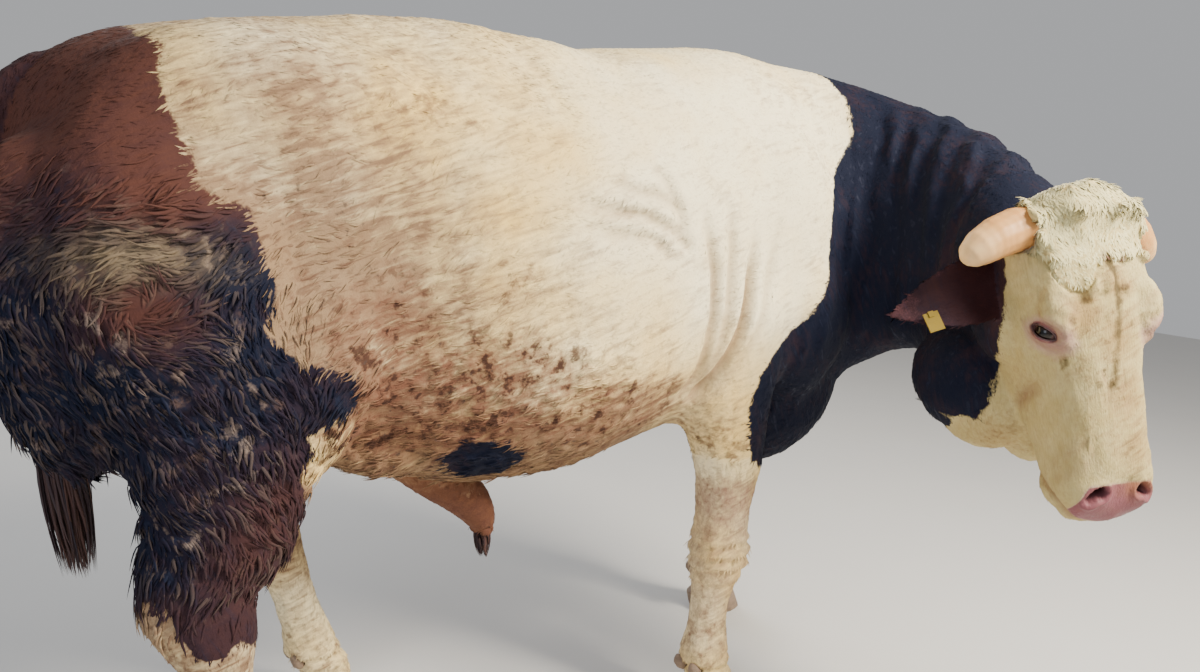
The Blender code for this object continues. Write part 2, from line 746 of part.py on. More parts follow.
def ear_tag(name, side, droop):
    """A blank tag of soft plastic on a stud through the ear."""
    panel = slab("panel", (0, 0.020, 0), (0.034, 0.040, 0.0024))
    stud = slab("stud", (0, 0.004, -0.004), (0.006, 0.006, 0.012))
    button = slab("button", (0, 0.004, 0.0020), (0.012, 0.012, 0.0030))
    made = combine(panel, [stud, button], "UNION")
    made.name = name
    place = ear_matrix(side, droop) @ Matrix.Translation(Vector((0.168, 0.016, 0.0080)))
    return moved(made, place @ Matrix.Rotation(math.radians(14.0), 4, "X"))


def claw(name, foot, inner, toe):
    """One claw of a cloven hoof, flat under the sole."""
    x, y = foot
    side = math.copysign(1.0, y) * (-1.0 if inner else 1.0)
    middle = y + side * 0.0330
    low = 0.0
    rings = 4
    around = 14
    points = []
    faces = []
    for i in range(rings):
        t = i / (rings - 1)
        front = x + toe + 0.088 - 0.036 * t
        back = x + toe - 0.048 - 0.012 * t
        half = 0.0290 - 0.0010 * t - 0.0035 * (1 - t) ** 3
        for k in range(around):
            turn = 2 * math.pi * k / around
            c = math.cos(turn)
            s = math.sin(turn)
            along = math.copysign(abs(c) ** 0.82, c)
            px = (front + back) / 2 + along * (front - back) / 2
            narrow = 1.0 - 0.42 * max(0.0, along) ** 2.2
            wide = math.copysign(abs(s) ** 0.75, s) * half * narrow
            outward = wide * side
            if outward < 0:
                wide *= 0.93
            lean = -side * 0.0040 * max(0.0, along) ** 2
            top = coronet_height(px - x) - GAP
            points.append((px, middle + wide + lean, low + (top - low) * t))
    for i in range(rings - 1):
        for k in range(around):
            j = (k + 1) % around
            faces.append((i * around + k, i * around + j, (i + 1) * around + j, (i + 1) * around + k))
    faces.append(tuple(range(around)))
    faces.append(tuple((rings - 1) * around + k for k in reversed(range(around))))
    return triangulated(face_out(mesh_object(name, points, faces)))


CORONET_RISE = 0.26


def coronet_height(forward):
    """Height of the hair line of the foot, this far in front of its middle."""
    return 0.062 + CORONET_RISE * forward


def below_coronet(foot):
    """A slanted block that takes the leg away below the hair line."""
    x, y = foot
    tilt = math.atan(CORONET_RISE)
    turn = Matrix.Rotation(-tilt, 3, "Y")
    deep = 0.15
    centre = Vector((x, y, coronet_height(0))) + turn @ Vector((0, 0, -deep / 2))
    return slab("below", centre, (0.40, 0.30, deep), turn)


def dewclaw(name, foot, inner, heel):
    """A small horny knob behind the fetlock."""
    x, y = foot
    side = math.copysign(1.0, y) * (-1.0 if inner else 1.0)
    made = thinned(egg(name, (0, 0, 0), (0.0150, 0.0165, 0.0230), detail=2), 44)
    place = Vector((x + heel, y + side * 0.0270, 0.128))
    turn = Matrix.Rotation(math.radians(-28.0), 4, "Y")
    return moved(made, Matrix.Translation(place) @ turn)


# Tail: x, y, z, right, left, up, down, exponent. It hangs in the cleft between the thighs.
TAIL = [
    (-1.400, 0.000, 1.395, 0.050, 0.050, 0.048, 0.048, 2.0),
    (-1.470, 0.000, 1.385, 0.045, 0.045, 0.044, 0.044, 2.0),
    (-1.525, 0.000, 1.335, 0.038, 0.038, 0.037, 0.037, 2.0),
    (-1.555, 0.000, 1.250, 0.032, 0.032, 0.031, 0.031, 2.0),
    (-1.560, 0.000, 1.140, 0.028, 0.028, 0.028, 0.028, 2.0),
    (-1.548, 0.000, 1.030, 0.025, 0.025, 0.025, 0.025, 2.0),
    (-1.516, 0.000, 0.930, 0.022, 0.022, 0.022, 0.022, 2.0),
    (-1.476, 0.000, 0.850, 0.020, 0.020, 0.020, 0.020, 2.0),
]
SWITCH = [
    (-1.450, 0.000, 0.785, 0.024, 0.024, 0.024, 0.024, 2.0),
    (-1.434, 0.000, 0.710, 0.028, 0.028, 0.028, 0.028, 2.0),
    (-1.424, 0.000, 0.650, 0.020, 0.020, 0.020, 0.020, 2.0),
    (-1.420, 0.000, 0.610, 0.009, 0.009, 0.009, 0.009, 2.0),
]
# Sheath under the belly: x, y, z, right, left, up, down, exponent.
SHEATH = [
    (-0.880, 0.0, 0.700, 0.045, 0.045, 0.050, 0.050, 2.0),
    (-0.780, 0.0, 0.640, 0.048, 0.048, 0.050, 0.050, 2.0),
    (-0.700, 0.0, 0.585, 0.044, 0.044, 0.046, 0.046, 2.0),
    (-0.650, 0.0, 0.535, 0.034, 0.034, 0.036, 0.036, 2.0),
    (-0.625, 0.0, 0.495, 0.022, 0.022, 0.024, 0.024, 2.0),
    (-0.616, 0.0, 0.472, 0.008, 0.008, 0.009, 0.009, 2.0),
]
# Scrotum between the hind legs: x, y, z, right, left, up, down, exponent.
SCROTUM = [
    (-1.130, 0.0, 0.800, 0.050, 0.050, 0.050, 0.050, 2.0),
    (-1.135, 0.0, 0.720, 0.046, 0.046, 0.046, 0.046, 2.0),
    (-1.140, 0.0, 0.640, 0.070, 0.070, 0.058, 0.058, 2.1),
    (-1.140, 0.0, 0.550, 0.088, 0.088, 0.066, 0.066, 2.2),
    (-1.135, 0.0, 0.480, 0.066, 0.066, 0.052, 0.052, 2.1),
    (-1.132, 0.0, 0.450, 0.024, 0.024, 0.020, 0.020, 2.0),
]


def paint(target, name, colour, roughness=0.7):
    look = bpy.data.materials.new(name)
    look.use_nodes = True
    shader = look.node_tree.nodes["Principled BSDF"]
    shader.inputs["Base Color"].default_value = (*colour, 1.0)
    shader.inputs["Roughness"].default_value = roughness
    target.data.materials.clear()
    target.data.materials.append(look)
    for face in target.data.polygons:
        face.material_index = 0


WHITE_COAT = (0.74, 0.68, 0.58)
BROWN_COAT = (0.16, 0.075, 0.050)
PINK_SKIN = (0.62, 0.36, 0.32)
HORN_TONE = (0.66, 0.50, 0.34)
HOOF_TONE = (0.20, 0.15, 0.11)

LEGS = (
    ("fore_right", FORE_RIGHT, -0.004),
    ("fore_left", FORE_LEFT, -0.004),
    ("hind_right", HIND_RIGHT, -0.006),
    ("hind_left", HIND_LEFT, -0.006),
)
# Where each leg is parted from the trunk: height, and how far the box reaches in x and y.
LEG_CUTS = {
    "fore_right": (0.655, (-0.112, -0.262), (0.300, 0.250)),
    "fore_left": (0.655, (0.235, 0.262), (0.360, 0.250)),
    "hind_right": (0.655, (-1.200, -0.240), (0.480, 0.330)),
    "hind_left": (0.655, (-0.990, 0.240), (0.480, 0.330)),
}


def part_the_body():
    """The body and the head as closed nodes that meet at thin cuts."""
    body = thinned(build_body(), BODY_TRIANGLES)
    head = thinned(build_head(), HEAD_TRIANGLES)
    nodes = {}
    for label, foot, _ in LEGS:
        combine(body, [below_coronet(foot)], "DIFFERENCE")
    for label, foot, _ in LEGS:
        top, (cx, cy), (sx, sy) = LEG_CUTS[label]
        nodes["leg_" + label] = split(
            body, "leg_" + label, (cx, cy, top / 2 - 0.05), (sx, sy, top + 0.10)
        )
    # The neck ends behind the jaw; the plane is square to the path of the neck.
    across_cut(body, head, nodes)
    nodes["torso"] = body
    body.name = "torso"
    return nodes


HEAD_CUT = (Vector((0.375, -0.575, 1.145)), Vector((-0.33, -0.94, 0.0)))
NECK_CUT = (Vector((0.275, -0.020, 1.150)), Vector((0.97, -0.24, 0.0)))


def facing(direction):
    """A turn whose x axis points along the direction, with z kept upright."""
    along = direction.normalized()
    up = Vector((0, 0, 1))
    side = up.cross(along).normalized()
    return Matrix((along, side, along.cross(side))).transposed()


def across_cut(body, head, nodes):
    """Parts the neck from the trunk, and gives everything past the jaw to the head."""
    place, normal = HEAD_CUT
    turn = facing(normal)
    near = slab("near", place + turn @ Vector((0.30, 0, 0)), (0.60, 0.70, 0.90), turn)
    combine(body, [near], "DIFFERENCE")
    behind = slab("behind", place + turn @ Vector((-0.60 + GAP, 0, 0)), (1.20, 1.60, 1.60), turn)
    combine(head, [behind], "DIFFERENCE")
    nodes["head"] = head
    place, normal = NECK_CUT
    turn = facing(normal)
    centre = place + turn @ Vector((0.45, 0.10, 0.30))
    nodes["neck"] = split(body, "neck", centre, (0.90, 2.0, 1.30), turn)


def main():
    clear_scene()
    nodes = part_the_body()
    head = nodes["head"]
    torso = nodes["torso"]

    chance = random.Random(SEED)
    combine(head, [nostril(-1), nostril(1), mouth_cutter(head)], "DIFFERENCE")
    combine(head, mop(head, chance), "UNION")
    for label, side in (("right", -1), ("left", 1)):
        combine(head, [eye_opening(side)], "DIFFERENCE")
        nodes["eye_" + label] = eye("eye_" + label, side)
        seat(head, nodes["eye_" + label])
        nodes["horn_" + label] = horn("horn_" + label, side)
        seat(head, nodes["horn_" + label])
        nodes["ear_" + label] = ear("ear_" + label, side, EAR_BACK[label])
        seat(head, nodes["ear_" + label])
    nodes["ear_tag"] = ear_tag("ear_tag", -1, EAR_BACK["right"])
    seat(nodes["ear_right"], nodes["ear_tag"])

    for label, foot, toe in LEGS:
        leg = nodes["leg_" + label]
        for inner in (False, True):
            where = "_inner" if inner else "_outer"
            nodes["claw_" + label + where] = claw("claw_" + label + where, foot, inner, toe)
            heel = -0.066 if label.startswith("fore") else -0.078
            knob = dewclaw("dewclaw_" + label + where, foot, inner, heel)
            seat(leg, knob)
            nodes["dewclaw_" + label + where] = knob

    tail = triangulated(loft("tail", TAIL + SWITCH, up_hint=(0, 1, 0), sides=12, steps=2))
    low_end = TAIL[-1]
    nodes["tail_switch"] = split(
        tail, "tail_switch", (low_end[0], low_end[1], low_end[2] - 0.5), (0.4, 0.4, 1.0)
    )
    nodes["tail"] = tail
    seat(torso, tail)
    hair = hanging_locks(SWITCH, chance, 8, 0.04, 0.62, 0.110, 0.030, 0.36)
    combine(nodes["tail_switch"], hair, "UNION")
    nodes["sheath"] = loft("sheath", SHEATH, up_hint=(0, 1, 0), sides=14, steps=2)
    seat(torso, nodes["sheath"])
    hair = hanging_locks(SHEATH, chance, 4, 0.76, 0.96, 0.075, 0.014, 0.26)
    combine(nodes["sheath"], hair, "UNION")
    nodes["scrotum"] = loft("scrotum", SCROTUM, up_hint=(0, 1, 0), sides=16, steps=2)
    seat(torso, nodes["scrotum"])

    for label, node in nodes.items():
        node.name = label
        triangulated(node)
        if label.startswith("eye"):
            paint(node, label, (0.02, 0.015, 0.012), 0.1)
        elif label.startswith("horn"):
            paint(node, label, HORN_TONE, 0.5)
        elif label.startswith(("claw", "dewclaw")):
            paint(node, label, HOOF_TONE, 0.55)
        elif label == "ear_tag":
            paint(node, label, (0.80, 0.62, 0.10), 0.4)
        elif label in ("sheath", "scrotum"):
            paint(node, label, PINK_SKIN, 0.6)
        elif label.startswith("ear") or label in ("neck", "tail"):
            paint(node, label, BROWN_COAT, 0.8)
        else:
            paint(node, label, WHITE_COAT, 0.8)
    for mesh in list(bpy.data.meshes):
        if mesh.users == 0:
            bpy.data.meshes.remove(mesh)
    return centre_on_floor(list(nodes.values()))


def centre_on_floor(nodes):
    """Moves every node so that the middle of the bottom of their box is the origin."""
    corners = np.array([v.co[:] for node in nodes for v in node.data.vertices])
    low = corners.min(axis=0)
    high = corners.max(axis=0)
    shift = Vector((-(low[0] + high[0]) / 2, -(low[1] + high[1]) / 2, -low[2]))
    for node in nodes:
        moved(node, Matrix.Translation(shift))
    return shift


SHIFT = main()
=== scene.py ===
import math

import bmesh
import bpy
import numpy as np
from bpy.props import FloatProperty, FloatVectorProperty, IntProperty, PointerProperty
from bpy.types import Operator, Panel, PropertyGroup
from mathutils import Matrix, Vector, noise
from mathutils.bvhtree import BVHTree


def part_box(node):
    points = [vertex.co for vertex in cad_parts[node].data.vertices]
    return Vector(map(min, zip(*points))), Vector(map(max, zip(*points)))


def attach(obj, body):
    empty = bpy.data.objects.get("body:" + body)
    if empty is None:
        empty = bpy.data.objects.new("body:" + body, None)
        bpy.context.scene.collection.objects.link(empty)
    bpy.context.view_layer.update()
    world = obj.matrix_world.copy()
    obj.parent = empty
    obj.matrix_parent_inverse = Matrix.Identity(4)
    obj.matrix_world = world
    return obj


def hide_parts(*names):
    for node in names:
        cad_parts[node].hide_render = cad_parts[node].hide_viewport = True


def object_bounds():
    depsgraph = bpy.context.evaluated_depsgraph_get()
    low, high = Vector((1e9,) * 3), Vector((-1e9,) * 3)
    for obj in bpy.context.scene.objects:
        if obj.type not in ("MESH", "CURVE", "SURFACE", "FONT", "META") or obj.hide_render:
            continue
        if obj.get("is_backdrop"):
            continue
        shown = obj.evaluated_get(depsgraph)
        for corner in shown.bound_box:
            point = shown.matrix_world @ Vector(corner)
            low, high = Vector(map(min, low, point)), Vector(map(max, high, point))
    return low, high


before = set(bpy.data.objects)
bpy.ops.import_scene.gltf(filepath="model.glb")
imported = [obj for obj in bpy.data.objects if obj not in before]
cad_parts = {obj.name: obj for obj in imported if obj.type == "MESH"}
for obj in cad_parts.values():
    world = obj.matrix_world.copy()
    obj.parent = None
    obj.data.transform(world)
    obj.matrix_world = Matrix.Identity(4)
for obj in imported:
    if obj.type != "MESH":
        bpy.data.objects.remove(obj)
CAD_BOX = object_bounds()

bl_info = {
    "name": "Beef Bull",
    "version": (1, 0, 0),
    "blender": (4, 5, 0),
    "location": "View3D > Sidebar > Bull",
    "description": "Dresses the solid beef bull in skin, coat, eyes, horns and hooves",
    "category": "Object",
}

# Where the animal stands, in metres. The nose points along +X, and the right side looks along -Y.
MIDDLE_Y = 0.3108
POLL = Vector((0.7722, -0.4612, 1.239))
HEAD_AZIMUTH = math.radians(-108.3)
HEAD_PITCH = math.radians(68.5)
HEAD_TILT = math.radians(3.6)
HEAD_TWIST = math.radians(2.2)
HEAD_SCALE = 1.03
EYE_PLACE = (0.222, 0.106, -0.004)
EAR_ROOT = (0.103, 0.132, -0.090)
EAR_DROOP = {"right": 0.0, "left": 1.1}
SIDES = {"right": -1.0, "left": 1.0}

EARS = ("ear_right", "ear_left")
FORE_LEGS = ("leg_fore_right", "leg_fore_left")
HIND_LEGS = ("leg_hind_right", "leg_hind_left")
FLESH = ("torso", "neck", "head", *EARS, *FORE_LEGS, *HIND_LEGS, "tail", "sheath", "scrotum")
LABELS = {name: number for number, name in enumerate(FLESH)}
# The camera's place on the floor plan, and its yaw, pitch and roll in degrees.
CAMERA_PLACE = (-1.1638, -1.6092)
CAMERA_ANGLES = (34.6, 9.3, 3.1)
EYEBALL = 0.0235
SLIT_HALF = 0.0280
UPPER_LID = 0.0130
LOWER_LID = 0.0105
BODY_STRANDS = (14.0, 95.0, 95.0)
FACE_STRANDS = (48.0, 260.0, 260.0)
MAP_PATCH = 0.0015
TUFT_POINTS = 7
LOCK_SIDES = 4
SOLE_HEIGHT = 0.046
# A quick draft has coarser flesh and less hair.
VOXEL_SCALE = 1.0
TRIANGLE_SHARE = 1.0
HAIR_SHARE = 1.0
POLL_LOCKS = 6200


# Places and shapes

def head_turn():
    """The head's own axes in the scene: down the face, out to its left, out of the forehead."""
    flat = Vector((math.cos(HEAD_AZIMUTH), math.sin(HEAD_AZIMUTH), 0))
    down = Vector((0, 0, -1))
    along = flat * math.cos(HEAD_PITCH) + down * math.sin(HEAD_PITCH)
    out = flat * math.sin(HEAD_PITCH) - down * math.cos(HEAD_PITCH)
    turn = Matrix((along, out.cross(along), out)).transposed()
    return turn @ Matrix.Rotation(HEAD_TILT, 3, "Z") @ Matrix.Rotation(HEAD_TWIST, 3, "X")


HEAD_TURN = head_turn()
HEAD_AXES = np.array(HEAD_TURN)


def head_place(x, y, z):
    """A point of the head's own coordinates in the scene."""
    return np.array(POLL + HEAD_TURN @ (Vector((x, y, z)) * HEAD_SCALE))


def on_head(points):
    """Points of the scene in the head's own coordinates."""
    return (points - np.array(POLL)) @ HEAD_AXES / HEAD_SCALE


def eye_places():
    """Name and centre of each eye, and its axes: outwards, along its lids and across them."""
    x, y, z = EYE_PLACE
    for name, side in SIDES.items():
        normal = Vector((0.10, 0.86 * side, 0.50)).normalized()
        slit = Vector((0.65, 0.0, 0.76))
        slit = (slit - normal * slit.dot(normal)).normalized()
        axes = (normal, slit, normal.cross(slit))
        yield name, head_place(x, y * side, z), [np.array(HEAD_TURN @ axis) for axis in axes]


def ear_axes(name):
    """Root of an ear and its directions: out along it, across it, and out of its hollow."""
    side = SIDES[name]
    out = Vector((0.20, 0.95 * side, -0.06 - EAR_DROOP[name])).normalized()
    hollow = Vector((0.12, 0.08 * side, 0.99))
    hollow = (hollow - out * hollow.dot(out)).normalized()
    root = head_place(EAR_ROOT[0], EAR_ROOT[1] * side, EAR_ROOT[2])
    return root, *(np.array(HEAD_TURN @ axis) for axis in (out, hollow.cross(out), hollow))


def reach(points, path):
    """Distance from each point to a path of straight lengths, and how far along it, 0 to 1."""
    path = np.asarray(path, float)
    best = np.full(len(points), 1e9)
    where = np.zeros(len(points))
    steps = np.linalg.norm(np.diff(path, axis=0), axis=1)
    before = np.concatenate(([0.0], np.cumsum(steps)))
    for a, b, start, step in zip(path[:-1], path[1:], before[:-1], steps):
        t = np.clip((points - a) @ (b - a) / step ** 2, 0, 1)
        gap = np.linalg.norm(points - a - t[:, None] * (b - a), axis=1)
        nearer = gap < best
        best[nearer] = gap[nearer]
        where[nearer] = (start + t[nearer] * step) / before[-1]
    return best, where


def ease(values, low, high):
    """0 below low, 1 above high, and a smooth rise between them."""
    t = np.clip((np.asarray(values, float) - low) / (high - low), 0, 1)
    return t * t * (3 - 2 * t)


def hump(values, width):
    return np.exp(-np.square(values / width))


def distance(points, place, sizes=1.0):
    """How far points are from a place, in sizes that may differ along each axis."""
    return np.linalg.norm((points - np.array(place)) / sizes, axis=1)


def laid_flat(vectors, normals):
    """Directions turned to run along a surface that has these normals."""
    return unit(vectors - normals * np.sum(vectors * normals, axis=-1, keepdims=True))


def soften(mesh, skin_normals, share):
    """Lets small hair be lit mostly like the skin under it."""
    own = np.empty(len(mesh.vertices) * 3)
    mesh.vertex_normals.foreach_get("vector", own)
    mixed = unit(skin_normals * share + own.reshape(-1, 3) * (1 - share))
    mesh.normals_split_custom_set_from_vertices(mixed.astype(np.float32))


def unit(vectors):
    return vectors / np.maximum(np.linalg.norm(vectors, axis=-1, keepdims=True), 1e-9)


def ripple(points, sizes, seed=0.0):
    """Smooth noise between -1 and 1 whose waves have the given size along each axis."""
    scaled = points / np.array(sizes) + seed
    return np.array([noise.noise(Vector(place)) for place in scaled])


def mesh_arrays(mesh):
    """Places of a mesh's points and the corners of its triangles."""
    points = np.empty(len(mesh.vertices) * 3)
    mesh.vertices.foreach_get("co", points)
    mesh.calc_loop_triangles()
    corners = np.empty(len(mesh.loop_triangles) * 3, dtype=np.int64)
    mesh.loop_triangles.foreach_get("vertices", corners)
    return points.reshape(-1, 3), corners.reshape(-1, 3)


def mesh_edges(mesh):
    edges = np.empty(len(mesh.edges) * 2, dtype=np.int64)
    mesh.edges.foreach_get("vertices", edges)
    return edges.reshape(-1, 2)


def move_points(mesh, points):
    mesh.vertices.foreach_set("co", points.astype(np.float32).ravel())
    mesh.update()


def stored_vectors(mesh, name):
    values = np.empty(len(mesh.vertices) * 3)
    mesh.attributes[name].data.foreach_get("vector", values)
    return values.reshape(-1, 3)


def map_places(mesh):
    """The place in the skin's map of each corner of each face."""
    layer = np.empty(len(mesh.loops) * 2)
    mesh.uv_layers["OFBake"].uv.foreach_get("vector", layer)
    return layer.reshape(-1, 2)


def put_map(mesh, roots, per):
    """Gives the points of each tuft a small patch round its root's place in the skin's map."""
    angle = np.arange(len(roots)) % per * (math.tau / per)
    places = roots + np.stack([np.cos(angle), np.sin(angle)], axis=1) * MAP_PATCH
    corners = np.empty(len(mesh.loops), dtype=np.int64)
    mesh.loops.foreach_get("vertex_index", corners)
    layer = mesh.uv_layers.new(name="OFBake")
    layer.uv.foreach_set("vector", places[corners].astype(np.float32).ravel())


def point_normals(points, corners):
    a, b, c = points[corners[:, 0]], points[corners[:, 1]], points[corners[:, 2]]
    face = np.cross(b - a, c - a)
    normals = np.zeros_like(points)
    for axis in range(3):
        for corner in range(3):
            normals[:, axis] += np.bincount(corners[:, corner], face[:, axis], len(points))
    return unit(normals)


def relax(points, edges, rounds, share, shrink=0.0):
    """Smooths points along their edges, by a share for each point."""
    count = np.bincount(edges.ravel(), minlength=len(points))[:, None]
    share = np.asarray(share, float).reshape(-1, 1)
    for step in range(rounds):
        total = np.empty_like(points)
        for axis in range(3):
            total[:, axis] = np.bincount(edges[:, 0], points[edges[:, 1], axis], len(points))
            total[:, axis] += np.bincount(edges[:, 1], points[edges[:, 0], axis], len(points))
        move = total / np.maximum(count, 1) - points
        factor = 0.6 if step % 2 == 0 or shrink else -0.62
        points = points + move * share * factor
    return points


def new_mesh(name, points, faces):
    """A mesh from places and from faces that all have the same number of corners."""
    mesh = bpy.data.meshes.new(name)
    faces = np.asarray(faces, dtype=np.int32)
    mesh.vertices.add(len(points))
    mesh.vertices.foreach_set("co", np.asarray(points, dtype=np.float32).ravel())
    mesh.loops.add(faces.size)
    mesh.loops.foreach_set("vertex_index", faces.ravel())
    mesh.polygons.add(len(faces))
    mesh.polygons.foreach_set("loop_start", np.arange(len(faces), dtype=np.int32) * faces.shape[1])
    mesh.update(calc_edges=True)
    mesh.shade_smooth()
    return mesh


def new_piece(name, mesh, look, nodes=()):
    """Links a finished mesh as a piece of the animal."""
    piece = bpy.data.objects.new(name, mesh)
    bpy.context.scene.collection.objects.link(piece)
    mesh.materials.clear()
    mesh.materials.append(look)
    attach(piece, "root")
    if nodes:
        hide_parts(*nodes)
    return piece


def put_values(mesh, name, values):
    kind, key = ("FLOAT", "value") if np.ndim(values) == 1 else ("FLOAT_VECTOR", "vector")
    if name not in mesh.attributes:
        mesh.attributes.new(name, kind, "POINT")
    mesh.attributes[name].data.foreach_set(key, np.asarray(values, dtype=np.float32).ravel())


def remeshed(names, voxel):
    """Copies of CAD nodes grown together into one even mesh."""
    source = bmesh.new()
    for name in names:
        source.from_mesh(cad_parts[name].data)
    bmesh.ops.remove_doubles(source, verts=source.verts, dist=1e-5)
    mesh = bpy.data.meshes.new("source")
    source.to_mesh(mesh)
    source.free()
    helper = bpy.data.objects.new("source", mesh)
    bpy.context.scene.collection.objects.link(helper)
    modifier = helper.modifiers.new("grow", "REMESH")
    modifier.mode = "VOXEL"
    modifier.voxel_size = voxel
    made = applied(helper)
    bpy.data.objects.remove(helper)
    return made


def applied(holder):
    """A plain mesh of an object as its modifiers leave it."""
    graph = bpy.context.evaluated_depsgraph_get()
    graph.update()
    return bpy.data.meshes.new_from_object(holder.evaluated_get(graph))


# Shader tools

class Channel:
    """One output of a shader node, which can be used in a sum."""

    def __init__(self, tree, socket):
        self.tree = tree
        self.socket = socket

    def sum_with(self, operation, first, second=None):
        node = self.tree.nodes.new("ShaderNodeMath")
        node.operation = operation
        for socket, value in zip(node.inputs, (first, second)):
            if value is not None:
                feed(self.tree, socket, value)
        return Channel(self.tree, node.outputs[0])

    def __add__(self, other):
        return self.sum_with("ADD", self, other)

    def __radd__(self, other):
        return self.sum_with("ADD", other, self)

    def __sub__(self, other):
        return self.sum_with("SUBTRACT", self, other)

    def __rsub__(self, other):
        return self.sum_with("SUBTRACT", other, self)

    def __mul__(self, other):
        return self.sum_with("MULTIPLY", self, other)

    def __rmul__(self, other):
        return self.sum_with("MULTIPLY", other, self)

    def __truediv__(self, other):
        return self.sum_with("DIVIDE", self, other)

    def step(self, low, high):
        """0 below low, 1 above high, and a smooth rise between them."""
        node = self.tree.nodes.new("ShaderNodeMapRange")
        node.interpolation_type = "SMOOTHSTEP"
        for name, value in (("Value", self), ("From Min", low), ("From Max", high)):
            feed(self.tree, node.inputs[name], value)
        return Channel(self.tree, node.outputs[0])

    def clip(self):
        return self.sum_with("MINIMUM", self.sum_with("MAXIMUM", self, 0.0), 1.0)

    def over(self, start, slope):
        """0 up to a start, then a straight rise to 1."""
        return ((self - start) * slope).clip()


def feed(tree, socket, value):
    if isinstance(value, Channel):
        tree.links.new(value.socket, socket)
    elif socket.type == "RGBA" and len(value) == 3:
        socket.default_value = (*value, 1.0)
    else:
        socket.default_value = value


class Look:
    """A material and the tools that build its nodes."""

    def __init__(self, name, **constants):
        self.material = bpy.data.materials.new(name)
        self.material.use_nodes = True
        self.tree = self.material.node_tree
        self.shader = self.tree.nodes["Principled BSDF"]
        for key, value in constants.items():
            feed(self.tree, self.shader.inputs[key.replace("_", " ")], value)
        self.place = self.node("ShaderNodeTexCoord", out="Object")

    def node(self, kind, settings=None, sockets=None, out=0):
        node = self.tree.nodes.new(kind)
        settings = dict(settings or {})
        stops = settings.pop("stops", None)
        for key, value in settings.items():
            setattr(node, key, value)
        if stops:
            while len(node.color_ramp.elements) < len(stops):
                node.color_ramp.elements.new(0.5)
            for element, (position, colour) in zip(node.color_ramp.elements, stops):
                element.position = position
                element.color = (*colour, 1.0)
        for key, value in (sockets or {}).items():
            feed(self.tree, node.inputs[key], value)
        return Channel(self.tree, node.outputs[out])

    def value(self, name):
        """A number that the mesh holds for each point."""
        return self.node("ShaderNodeAttribute", {"attribute_name": name}, out="Fac")

    def noise(self, scale, detail=2.0, place=None, roughness=0.5, warp=0.0):
        sockets = {"Vector": place or self.place, "Scale": scale, "Detail": detail}
        sockets.update({"Roughness": roughness, "Distortion": warp})
        return self.node("ShaderNodeTexNoise", {}, sockets, "Fac")

    def turned(self, angles, scale, place=None):
        """Coordinates turned, then stretched by a scale for each axis."""
        turn = {"Vector": place or self.place, "Rotation": angles}
        stretched = {"Vector": self.node("ShaderNodeMapping", {}, turn), "Scale": scale}
        return self.node("ShaderNodeMapping", {}, stretched)

    def mix(self, factor, first, second, blend="MIX"):
        settings = {"data_type": "RGBA", "blend_type": blend}
        return self.node("ShaderNodeMix", settings, {0: factor, 6: first, 7: second}, 2)

    def paint(self, colour, *coats):
        """Lays coats over a colour, each given as its share and its own colour."""
        for share, coat in coats:
            colour = self.mix(share, colour, coat)
        return colour

    def bump(self, height, strength, depth, before=None):
        sockets = {"Height": height, "Strength": strength, "Distance": depth}
        if before is not None:
            sockets["Normal"] = before
        return self.node("ShaderNodeBump", {}, sockets)

    def drive(self, **channels):
        for key, value in channels.items():
            feed(self.tree, self.shader.inputs[key.replace("_", " ")], value)
        return self.material


# Sizes and colours a user may change

def length_value(name, text, default):
    return FloatProperty(name=name, description=text, default=default, unit="LENGTH", precision=4)


def colour_value(name, text, default):
    return FloatVectorProperty(
        name=name, description=text, default=default, subtype="COLOR", size=3, min=0.0, max=1.0
    )


class BullSkin(PropertyGroup):
    voxel: length_value("Voxel", "Edge of the cells in which the flesh grows together", 0.0050)
    body_depth: length_value("Body depth", "Depth of the skin under the coat of the body", 0.0045)
    leg_depth: length_value("Leg depth", "Depth of the skin under the coat of the legs", 0.0025)
    face_depth: length_value("Face depth", "Depth of the skin under the coat of the face", 0.0015)
    curl_depth: length_value("Curl depth", "Depth of the skin under the curls of the poll", 0.0080)
    triangles: IntProperty(
        name="Triangles", description="Faces of the skin before the head is refined", default=124000
    )


class BullCoat(PropertyGroup):
    body_length: length_value("Body hair", "Length of a tuft on the back and shoulder", 0.017)
    flank_length: length_value("Flank hair", "Length of a tuft on the flank and belly", 0.028)
    leg_length: length_value("Leg hair", "Length of a tuft on the legs", 0.013)
    face_length: length_value("Face hair", "Length of a tuft on the face", 0.0062)
    curl_length: length_value("Curl", "Length of a lock on the poll", 0.021)
    tufts: IntProperty(name="Tufts", description="Tufts of the whole short coat", default=76000)
    seed: IntProperty(name="Seed", description="Start of every random draw", default=5988)


class BullColours(PropertyGroup):
    white: colour_value("White coat", "Clean white hair", (0.90, 0.80, 0.53))
    cream: colour_value("Cream coat", "Yellowed white hair", (0.80, 0.545, 0.175))
    face: colour_value("Face", "Yellowed hair of the head", (0.44, 0.34, 0.13))
    # Stained hair; on the upper forearm and the sheath this colour is partly painted shade.
    stain_and_shade: colour_value("Stained coat", "Brownish hair of the flank", (0.205, 0.116, 0.069))
    red: colour_value("Red coat", "Red-brown hair of the rump", (0.090, 0.034, 0.024))
    # Its blue is partly painted blue light on the black hair.
    dark: colour_value("Dark coat", "Blue-black hair of the neck and thigh", (0.0060, 0.0080, 0.0200))
    soil: colour_value("Soil", "Dried dirt in the hair", (0.165, 0.070, 0.042))
    skin: colour_value("Bare skin", "Pink skin of the nose and lids", (0.28, 0.092, 0.112))
    horn: colour_value("Horn", "Pale tip of the horns", (0.78, 0.52, 0.25))
    hoof: colour_value("Hoof", "Brown claw horn", (0.19, 0.125, 0.08))
    tag: colour_value("Ear tag", "Yellow plastic of the ear tag", (0.19, 0.130, 0.018))


